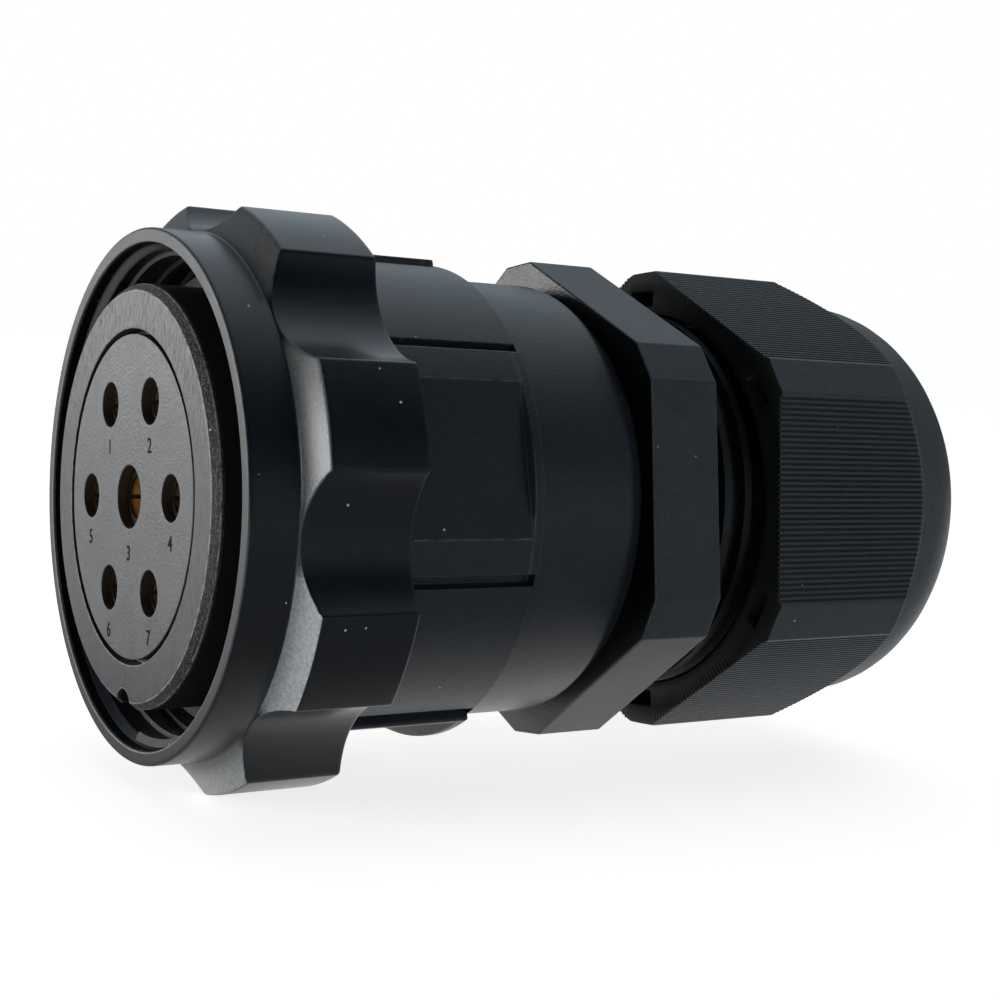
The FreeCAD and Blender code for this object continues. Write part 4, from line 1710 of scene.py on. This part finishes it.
@dataclass
class CableGland:
    """Gland body, its thread, its washer and its seal; sizes in millimetres, turns in degrees."""

    tube_end: float = 52.0
    flange_front: float = 52.9
    flange_rear: float = 62.7
    flange_apothem: float = 27.4
    flange_corner: float = 30.1
    flange_turn: float = 2.8
    edge_turn: float = 0.3
    spigot_front: float = 43.9
    spigot: float = 24.15
    bore: float = 20.4
    neck_root: float = 23.4
    finger_start: float = 76.7
    finger_end: float = 91.2
    finger_outer: float = 23.5
    finger_inner: float = 21.5
    finger_tip: float = 22.6
    finger_taper: float = 5.0
    fingers: int = 12
    finger_slot: float = 1.3
    finger_columns: int = 6
    finger_crease: float = 35.0
    seal_start: float = 74.7
    seal_length: float = 18.5
    seal_bore: float = 17.5
    seal_outer: float = 21.45
    seal_chamfer: float = 1.2
    washer: float = 25.2
    washer_room: float = 0.1
    thread_pitch: float = 3.15
    thread_turns: float = 3.3
    thread_height: float = 1.1
    thread_root: float = 1.7
    thread_crest: float = 1.15
    thread_start: float = 62.64
    thread_shade: float = 0.85
    gap_depth: float = 1.5
    gap_reach: float = 0.1
    gap_level: float = -8.0         # height below which the painted shade in the gap ahead of the flange gets lighter
    gap_fade: float = 14.0
    gap_least: float = 0.2
    before_edge: float = 1.6
    after_edge: float = 1.4
    flat_columns: int = 9
    corner_columns: int = 4
    edge_columns: tuple[float, ...] = (-0.9, -0.4, -0.2, 0.0, 0.2, 0.4, 0.9)

    def hexagon(self) -> HexForm:
        """Outline of the flange."""
        return HexForm(self.flange_apothem, self.flange_corner, self.flange_turn)

    def profile(self, angle: float) -> Profile:
        """Closed profile of the spigot, flange and neck.

        Args:
            angle: Angle in degrees.

        Returns:
            Corners with their roundings.
        """
        outer = smoothed(self.hexagon().radius, angle, self.edge_turn)
        return [
            (self.spigot_front, self.bore, 0.2),
            (self.spigot_front, self.spigot, 0.2),
            (self.flange_front, self.spigot, 0.1),
            (self.flange_front, outer, 0.28),
            (self.flange_rear, outer, 0.32),
            (self.flange_rear, self.neck_root, 0.2),
            (self.finger_start, self.neck_root, 0.3),
            (self.finger_start, self.finger_inner, 0.1),
            (self.seal_start, self.finger_inner, 0.1),
            (self.seal_start, self.bore, 0.1),
        ]

    def columns(self) -> list[float]:
        """Angles of one flat and its corners.

        Returns:
            Angles in degrees, dense at the edges.
        """
        edge = self.hexagon().edge_turn()
        near = [edge + off for off in self.edge_columns]
        flat = spread(0.0, edge - self.before_edge, self.flat_columns)
        corner = spread(edge + self.after_edge, HEX_PITCH / 2, self.corner_columns)
        return [self.hexagon().first() + off for off in both_sides(flat + near + corner)]

    def painted_gap_shade(self, middle: Vector, normal: Vector) -> float:
        """How much painted shade a face gets in the gap ahead of the flange or behind it.

        Args:
            middle: Middle of the face in millimetres.
            normal: Normal of the face, not used.

        Returns:
            The weight from 0 to 1.
        """
        if middle.x > self.flange_rear and radius_of(middle) < self.flange_apothem - self.gap_depth:
            return 1.0
        if middle.x > self.flange_front + self.gap_reach:
            return 0.0
        return held(1.0 + (middle.z - self.gap_level) / self.gap_fade, self.gap_least)

    def finger_mesh(self) -> bpy.types.Mesh:
        """One clamping finger as a closed sector.

        Returns:
            The mesh.
        """
        slot = math.degrees(self.finger_slot / self.finger_outer)
        angles = spread(slot / 2, 360.0 / self.fingers - slot / 2, self.finger_columns)
        outline = [
            (self.finger_start, self.finger_inner, 0.0),
            (self.finger_start, self.finger_outer, 0.0),
            (self.finger_end - self.finger_taper, self.finger_outer, 0.0),
            (self.finger_end, self.finger_tip, 0.0),
            (self.finger_end, self.finger_inner, 0.0),
        ]
        return sector_mesh("finger", angles, lambda angle: outline, capped=True)

    def build_body(self, shop: Workshop) -> None:
        """Build the gland's body, fingers and thread.

        Args:
            shop: The tools and finishes.
        """
        finish = shop.finishes.gland
        piece = Piece("gland_dressed", Body.SHELL, Slot.GLAND, ("gland_body",))
        obj = shop.swept(piece, self.columns(), self.profile, HEX_SIDES, finish)
        mark_faces(obj.data, PAINTED_SHADE_ATTRIBUTE, self.painted_gap_shade)
        piece.declare(obj)
        piece = Piece("gland_fingers", Body.SHELL, Slot.GLAND)
        obj = shop.pattern.repeat(piece.name, self.finger_mesh(), self.fingers, finish)
        obj.data.set_sharp_from_angle(angle=math.radians(self.finger_crease))
        piece.declare(obj)
        thread = ThreadForm(
            self.thread_turns, self.neck_root + self.thread_height / 2, self.thread_pitch,
            self.thread_height, inner_width=self.thread_root, outer_width=self.thread_crest,
            start=self.thread_start,
        )
        piece = Piece("gland_thread", Body.SHELL, Slot.GLAND)
        shop.ridge.wind(piece, thread, finish, self.thread_shade)

    def build_rubber(self, shop: Workshop) -> None:
        """Build the washer ahead of the flange and the seal inside the fingers.

        Args:
            shop: The tools and finishes.
        """
        washer_bore = self.spigot + self.washer_room
        shop.turned(
            Piece("washer_dressed", Body.SHELL, Slot.RUBBER, ("gland_washer",)),
            [
                (self.tube_end, washer_bore, 0.1),
                (self.tube_end, self.washer, 0.2),
                (self.flange_front, self.washer, 0.2),
                (self.flange_front, washer_bore, 0.1),
            ],
            shop.finishes.rubber,
        )
        seal_end = self.seal_start + self.seal_length
        shop.turned(
            Piece("seal_dressed", Body.SHELL, Slot.RUBBER, ("gland_seal",)),
            [
                (self.seal_start, self.seal_bore, 0.4),
                (self.seal_start, self.seal_outer, 0.2),
                (self.finger_end, self.seal_outer, 0.2),
                (seal_end, self.seal_outer - self.seal_chamfer, 0.4),
                (seal_end, self.seal_bore, 0.5),
            ],
            shop.finishes.rubber,
        )

    def build(self, shop: Workshop) -> None:
        """Build the gland with the shop's tools and finishes."""
        self.build_body(shop)
        self.build_rubber(shop)


@dataclass
class ClampingNut:
    """Domed hexagon nut with gripping ribs; sizes in millimetres, turns in degrees."""

    front: float = 72.2
    apothem: float = 27.5
    corner: float = 30.35
    turn: float = 0.5
    chamfer: float = 0.4
    rib_turn: float = 0.05
    dome_start: float = 93.6
    shoulder_angle: float = 43.0
    dome_front: float = 27.35
    dome_step: float = 0.02
    cone_length: float = 1.9
    cone_angle: float = 3.0
    dome: float = 10.06
    dome_end_angle: float = 72.0
    dome_points: int = 10
    thread: float = 24.6
    thread_length: float = 13.0
    entry: float = 19.5
    entry_length: float = 5.5
    ribs: int = 39
    rib_height: float = 0.42
    rib_groove: float = 0.3
    rib_shade: float = 0.7
    rib_light: float = 0.4
    shade_depth: float = 0.8
    shade_reach: float = 0.1
    shade_facing: float = -0.5
    light_start: float = 0.2
    light_inset: float = 0.5
    pocket_inner: float = 25.7
    pocket_outer: float = 28.0
    pocket_width: float = 4.6
    pocket_depth: float = 3.0
    pocket_turn: float = 0.08
    pocket_wall: float = 0.02
    pocket_least: float = 0.03
    pocket_rim: float = 0.15
    column_gap: float = 0.01
    corner_column: float = 28.0
    rib_columns: tuple[float, ...] = (-0.5, -0.3, -0.22, 0.0, 0.22, 0.3)
    edge_columns: tuple[float, ...] = (-0.8, -0.3, -0.1, 0.1, 0.3, 0.9)
    pocket_columns: tuple[float, ...] = (-0.3, -0.08, 0.0, 0.08, 0.3)

    def hexagon(self) -> HexForm:
        """Outline of the nut."""
        return HexForm(self.apothem, self.corner, self.turn)

    def rib_pitch(self) -> float:
        """Distance from one rib to the next."""
        return 2 * self.hexagon().half_flat() / self.ribs

    def rib_depth(self, along: float) -> float:
        """Depth of the rib pattern below the flat.

        Args:
            along: Place along the flat from its middle.

        Returns:
            The depth.
        """
        place = (along + self.hexagon().half_flat()) / self.rib_pitch()
        off = abs(place - round(place))
        if place < 0.5 or place > self.ribs - 0.5 or off >= self.rib_groove:
            return 0.0
        return self.rib_height * (1.0 - off / self.rib_groove)

    def rib_share(self, middle: Vector) -> float:
        """Depth of a face in a rib's groove.

        Args:
            middle: Middle of the face in millimetres.

        Returns:
            Share from 0 on the crest to 1 at the bottom.
        """
        hexagon = self.hexagon()
        off = hexagon.off_flat(angle_of(middle))
        if abs(off) > hexagon.edge_turn():
            return 0.0
        return self.rib_depth(hexagon.along(off)) / self.rib_height

    def painted_nut_shade(self, middle: Vector, normal: Vector) -> float:
        """How much painted shade a face gets in a groove or in the gap ahead of the nut.

        Args:
            middle: Middle of the face in millimetres.
            normal: Normal of the face.

        Returns:
            The weight from 0 to 1.
        """
        inside = radius_of(middle) < self.apothem - self.shade_depth
        ahead = middle.x < self.front + self.pocket_depth + self.shade_reach
        if ahead and (normal.x < self.shade_facing or inside):
            return 1.0
        if middle.x > self.shoulder_end() or inside:
            return 0.0
        return self.rib_shade * self.rib_share(middle)

    def painted_nut_light(self, middle: Vector, normal: Vector) -> float:
        """How much painted light a face gets: fully on the dome, partly on the crests of the ribs.

        Args:
            middle: Middle of the face in millimetres.
            normal: Normal of the face.

        Returns:
            The weight from 0 to 1.
        """
        inwards = normal.y * middle.y + normal.z * middle.z < 0.0
        if inwards or radius_of(middle) < self.entry + self.light_inset:
            return 0.0
        if middle.x > self.dome_start + self.light_start:
            return 1.0
        return self.rib_light * (1.0 - self.rib_share(middle))

    def shoulder_at(self, radius: float) -> float:
        """Place along the axis where the sloped shoulder has a radius."""
        fall = self.hexagon().edge() - radius
        return self.dome_start + fall / math.tan(math.radians(self.shoulder_angle))

    def shoulder_end(self) -> float:
        """Place along the axis where the shoulder meets the dome."""
        return self.shoulder_at(self.dome_front)

    def dome_curve(self) -> list[tuple[float, float]]:
        """Points of the dome from the end of its cone to the cable entry.

        Returns:
            Places along the axis with their radii.
        """
        cone = math.radians(self.cone_angle)
        end_x = self.shoulder_end() + self.cone_length
        end_radius = self.dome_front - self.cone_length * math.tan(cone)
        centre_x = end_x - self.dome * math.sin(cone)
        centre_radius = end_radius - self.dome * math.cos(cone)
        turns = spread(cone, math.radians(self.dome_end_angle), self.dome_points)
        return [
            (centre_x + self.dome * math.sin(turn), centre_radius + self.dome * math.cos(turn))
            for turn in turns
        ]

    def pocket_half(self) -> float:
        """Half the turn that a corner pocket takes."""
        middle = (self.pocket_inner + self.pocket_outer) / 2
        return math.degrees(math.atan2(self.pocket_width / 2, middle))

    def pocket_at(self, angle: float) -> float:
        """Depth of the corner pocket in the front face, with sharp walls."""
        return self.pocket_depth if abs(self.hexagon().off_corner(angle)) < self.pocket_half() else 0.0

    def profile(self, angle: float) -> Profile:
        """Closed profile of the nut.

        Args:
            angle: Angle in degrees.

        Returns:
            Corners with their roundings.
        """
        hexagon = self.hexagon()
        outer = smoothed(lambda turn: hexagon.radius(turn, self.rib_depth), angle, self.rib_turn)
        low = min(outer, hexagon.edge() - self.chamfer)
        shoulder_end = self.shoulder_end()
        dome = self.dome_curve()
        end_x, end_radius = dome[-1]
        depth = max(self.pocket_least, smoothed(self.pocket_at, angle, self.pocket_turn))
        pocket_top = min(self.pocket_outer, low - self.pocket_rim)
        return [
            (self.front, self.thread, 0.3),
            (self.front, self.pocket_inner, 0.0),
            (self.front + depth, self.pocket_inner + self.pocket_wall, 0.0),
            (self.front + depth, pocket_top - self.pocket_wall, 0.0),
            (self.front, pocket_top, 0.0),
            (self.front, low, 0.0),
            (self.front + max(STEEP_STEP, outer - low), outer, 0.1),
            (min(self.shoulder_at(outer), shoulder_end), outer, 0.18),
            (shoulder_end + self.dome_step, self.dome_front, 0.3),
            *((x, radius, 0.0) for x, radius in dome[:-1]),
            (end_x, end_radius, 0.25),
            (end_x, self.entry, 0.3),
            (end_x - self.entry_length, self.entry, 0.0),
            (self.front + self.thread_length, self.thread, 0.0),
        ]

    def columns(self) -> list[float]:
        """Angles of one ribbed flat and half of each corner.

        Returns:
            Angles in degrees, dense at the ribs, edges and pockets.
        """
        hexagon = self.hexagon()
        corner = HEX_PITCH / 2
        pocket = corner - self.pocket_half()
        offs: set[float] = {-corner, corner}
        for rib in range(1, self.ribs):
            valley = -hexagon.half_flat() + rib * self.rib_pitch()
            for share in self.rib_columns:
                place = valley + share * self.rib_pitch()
                offs.add(math.degrees(math.atan2(place, self.apothem)))
        for side in (-1.0, 1.0):
            offs.update(side * (hexagon.edge_turn() + off) for off in self.edge_columns)
            offs.update(side * (pocket + off) for off in self.pocket_columns)
            offs.add(side * self.corner_column)
        return [hexagon.first() + off for off in thinned(offs, self.column_gap)]

    def build(self, shop: Workshop) -> None:
        """Build the nut.

        Args:
            shop: The tools and finishes.
        """
        piece = Piece("nut_dressed", Body.NUT, Slot.GLAND, ("clamping_nut",))
        obj = shop.swept(piece, self.columns(), self.profile, HEX_SIDES, shop.finishes.nut)
        mark_faces(obj.data, PAINTED_SHADE_ATTRIBUTE, self.painted_nut_shade)
        mark_faces(obj.data, ZONE_ATTRIBUTE, self.painted_nut_light)
        piece.declare(obj)


@dataclass
class InnerPieces:
    """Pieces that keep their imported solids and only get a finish."""

    contacts: int = 7
    centre_contact: int = 4

    def build(self, shop: Workshop) -> None:
        """Dress the inner pieces.

        Args:
            shop: The tools and finishes.
        """
        finishes = shop.finishes
        pieces = {f"socket_contact_{number}": finishes.brass for number in range(1, self.contacts + 1)}
        # painted highlight: the centre contact gets the brighter brass
        pieces[f"socket_contact_{self.centre_contact}"] = finishes.painted_glint_brass
        pieces.update(
            rear_insert=finishes.insert,
            insert_lock_ring=finishes.insert,
            sleeve_nut=finishes.shell,
            mating_gasket=finishes.rubber,
            ring_snap_ring=finishes.steel,
            terminal_screws=finishes.steel,
        )
        for name, finish in pieces.items():
            dress(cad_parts[name].data, finish)
            LOG.info("%s: packed solid", name)


@dataclass(frozen=True)
class SoftBox:
    """Soft lamp that looks at the connector; place and size in millimetres, power in watts."""

    name: str
    place: Place
    size: tuple[float, float]
    power: float
    colour: Colour = WHITE
    reflected: bool = True

    def add(self, aim: Vector) -> None:
        """Add the lamp to the scene.

        Args:
            aim: Point that it looks at, in millimetres.
        """
        data = bpy.data.lights.new(self.name, "AREA")
        data.shape = "RECTANGLE"
        data.size = self.size[0] * MM
        data.size_y = self.size[1] * MM
        data.energy = self.power
        data.color = self.colour
        lamp = link_object(self.name, data)
        turn = (aim - Vector(self.place)).to_track_quat("-Z", "Y").to_matrix().to_4x4()
        lamp.matrix_world = Matrix.Translation(Vector(self.place) * MM) @ turn
        lamp.visible_camera = False
        lamp.visible_glossy = self.reflected


COOL = (0.86, 1.0, 1.1)
SOFT_BOXES = (
    SoftBox("left_box", (-640.0, 170.0, 25.0), (460.0, 220.0), 4.2),
    SoftBox("rear_box", (-460.0, 620.0, 60.0), (460.0, 220.0), 2.2),
    SoftBox("fill_box", (260.0, -620.0, 20.0), (500.0, 300.0), 2.3, COOL, reflected=False),
)


@dataclass
class Studio:
    """Camera, floor, lamps and background; places in millimetres, steps as the ends of a ramp."""

    camera_place: Place = (-70.2, -182.85, 25.9)
    view: Place = (0.5441, 0.8305, -0.1189)
    roll: float = 4.57
    lens: float = 62.2
    sensor: float = 36.0
    near: float = 10.0
    lamp_aim: Place = (50.0, 0.0, 0.0)
    floor_size: float = 6000.0
    floor_glow: float = 0.76
    floor_rest: float = 0.07
    floor_behind: tuple[float, float] = (-45.0, -5.0)
    floor_right: tuple[float, float] = (-15.0, 30.0)
    floor_left: tuple[float, float] = (-12.0, -50.0)
    floor_far: tuple[float, float] = (300.0, 100.0)
    floor_colour: Colour = (0.88, 0.8, 0.75)
    floor_bounce: Colour = (0.4, 0.4, 0.4)
    floor_diffuse: Colour = (0.8, 0.8, 0.8)
    front_light: float = 0.03
    top_light: float = 0.8
    top_up: tuple[float, float] = (0.0, 0.45)
    top_behind: tuple[float, float] = (-0.8, 0.3)
    top_left: tuple[float, float] = (-0.6, 0.3)
    top_right: tuple[float, float] = (1.0, 0.55)
    right_light: float = 0.28
    right_level: tuple[float, float] = (0.5, 0.12)
    right_side: tuple[float, float] = (0.1, 0.5)
    right_front: tuple[float, float] = (-0.2, -0.7)
    backdrop_shine: float = 0.12
    backdrop_behind: tuple[float, float] = (0.2, 0.8)

    def add_camera(self) -> None:
        """Place the camera as the photograph was taken."""
        data = bpy.data.cameras.new("camera")
        data.lens = self.lens
        data.sensor_width = self.sensor
        data.sensor_fit = "HORIZONTAL"
        data.clip_start = self.near * MM
        ahead = Vector(self.view).normalized()
        right = ahead.cross(Vector((0, 0, 1))).normalized()
        up = right.cross(ahead)
        turn = math.radians(self.roll)
        tilted_right = right * math.cos(turn) + up * math.sin(turn)
        tilted_up = up * math.cos(turn) - right * math.sin(turn)
        axes = Matrix((tilted_right, tilted_up, -ahead)).transposed().to_4x4()
        camera = link_object("camera", data)
        camera.matrix_world = Matrix.Translation(Vector(self.camera_place) * MM) @ axes
        bpy.context.scene.camera = camera

    def floor_shine(self, bench: NodeBench) -> Socket:
        """How bright the floor is in reflections.

        Args:
            bench: Bench of the floor's material.

        Returns:
            The brightness, from its place on the floor.
        """
        parts = bench.parts(bench.place())

        def step(axis: str, ends: tuple[float, float]) -> Socket:
            """Ramp along one axis between two places in millimetres."""
            return bench.ramp(parts[axis], ends[0] * MM, ends[1] * MM)

        behind = bench.product(step("Y", self.floor_behind), step("X", self.floor_right))
        level = bench.math("ADD", behind, step("X", self.floor_left))
        return bench.total(bench.product(level, step("Y", self.floor_far)), self.floor_rest)

    def add_floor(self) -> None:
        """Add the pale floor under the lobes of the ring."""
        half = self.floor_size / 2 * MM
        level = CAD_BOX[0][2]
        mesh = bpy.data.meshes.new("floor")
        corners = [(-half, -half, level), (half, -half, level), (half, half, level), (-half, half, level)]
        mesh.from_pydata(corners, [], [(0, 1, 2, 3)])
        made = bpy.data.materials.new("pale_floor")
        bench = blank_bench(made)
        rays = bench.add("ShaderNodeLightPath").outputs
        bent = bench.math("ADD", rays["Is Glossy Ray"], rays["Is Transmission Ray"])
        seen = bench.product(rays["Is Camera Ray"], self.floor_glow)
        strength = bench.math("ADD", seen, bench.product(bent, self.floor_shine(bench)))
        bounce = bench.mix(rays["Is Diffuse Ray"], self.floor_bounce, self.floor_diffuse)
        tint = bench.mix(rays["Is Camera Ray"], bounce, self.floor_colour)
        paper = bench.add("ShaderNodeBsdfDiffuse", {"Color": tint})
        glow = bench.add("ShaderNodeEmission", {"Color": (*WHITE, 1.0), "Strength": strength})
        bench.surface("ShaderNodeAddShader", {0: paper.outputs[0], 1: glow.outputs[0]})
        dress(mesh, made)
        link_object("floor", mesh)

    def surroundings(self, bench: NodeBench, directions: bpy.types.NodeOutputs) -> Socket:
        """Dim light from above and from the right that the background gives.

        Args:
            bench: Bench of the background.
            directions: X, Y and Z of the direction that is looked at.

        Returns:
            The light's strength.
        """
        above = bench.product(
            bench.ramp(directions["Z"], *self.top_up), self.top_light,
            bench.ramp(directions["Y"], *self.top_behind),
            bench.ramp(directions["X"], *self.top_left),
            bench.ramp(directions["X"], *self.top_right),
        )
        aside = bench.product(
            bench.ramp(bench.math("ABSOLUTE", directions["Z"]), *self.right_level), self.right_light,
            bench.ramp(directions["X"], *self.right_side),
            bench.ramp(directions["Y"], *self.right_front),
        )
        return bench.math("ADD", bench.math("ADD", above, aside), self.front_light)

    def add_background(self) -> None:
        """Add a background that is white for the camera, pale in reflections and dim as a light."""
        world = bpy.data.worlds.new("studio")
        bench = blank_bench(world)
        rays = bench.add("ShaderNodeLightPath").outputs
        directions = bench.parts(bench.place("Generated"))
        bent = bench.math("ADD", rays["Is Glossy Ray"], rays["Is Transmission Ray"])
        behind = bench.ramp(directions["Y"], *self.backdrop_behind)
        backdrop = bench.product(bent, behind, self.backdrop_shine)
        shown = bench.math("ADD", rays["Is Camera Ray"], backdrop)
        strength = bench.math("MAXIMUM", self.surroundings(bench, directions), shown)
        tint = bench.mix(rays["Is Camera Ray"], COOL, WHITE)
        shade = bench.add("ShaderNodeBackground", {"Color": tint, "Strength": strength})
        bench.add("ShaderNodeOutputWorld", {"Surface": shade.outputs[0]})
        bpy.context.scene.world = world

    def build(self) -> None:
        """Set the scene up."""
        self.add_camera()
        for box in SOFT_BOXES:
            box.add(Vector(self.lamp_aim))
        self.add_floor()
        self.add_background()
        bpy.context.scene.view_settings.view_transform = "Standard"


def main() -> None:
    """Build the studio and every piece."""
    logging.basicConfig(level=logging.INFO, format="%(name)s: %(message)s")
    Studio().build()
    shop = Workshop(Finishes(), RoundPattern(), ThreadRidge())
    for part in (CouplingRing(), BodyShell(), RearShell(), MatingFace(), CableGland(), ClampingNut(),
                 InnerPieces()):
        part.build(shop)


if __name__ == "__main__":
    main()
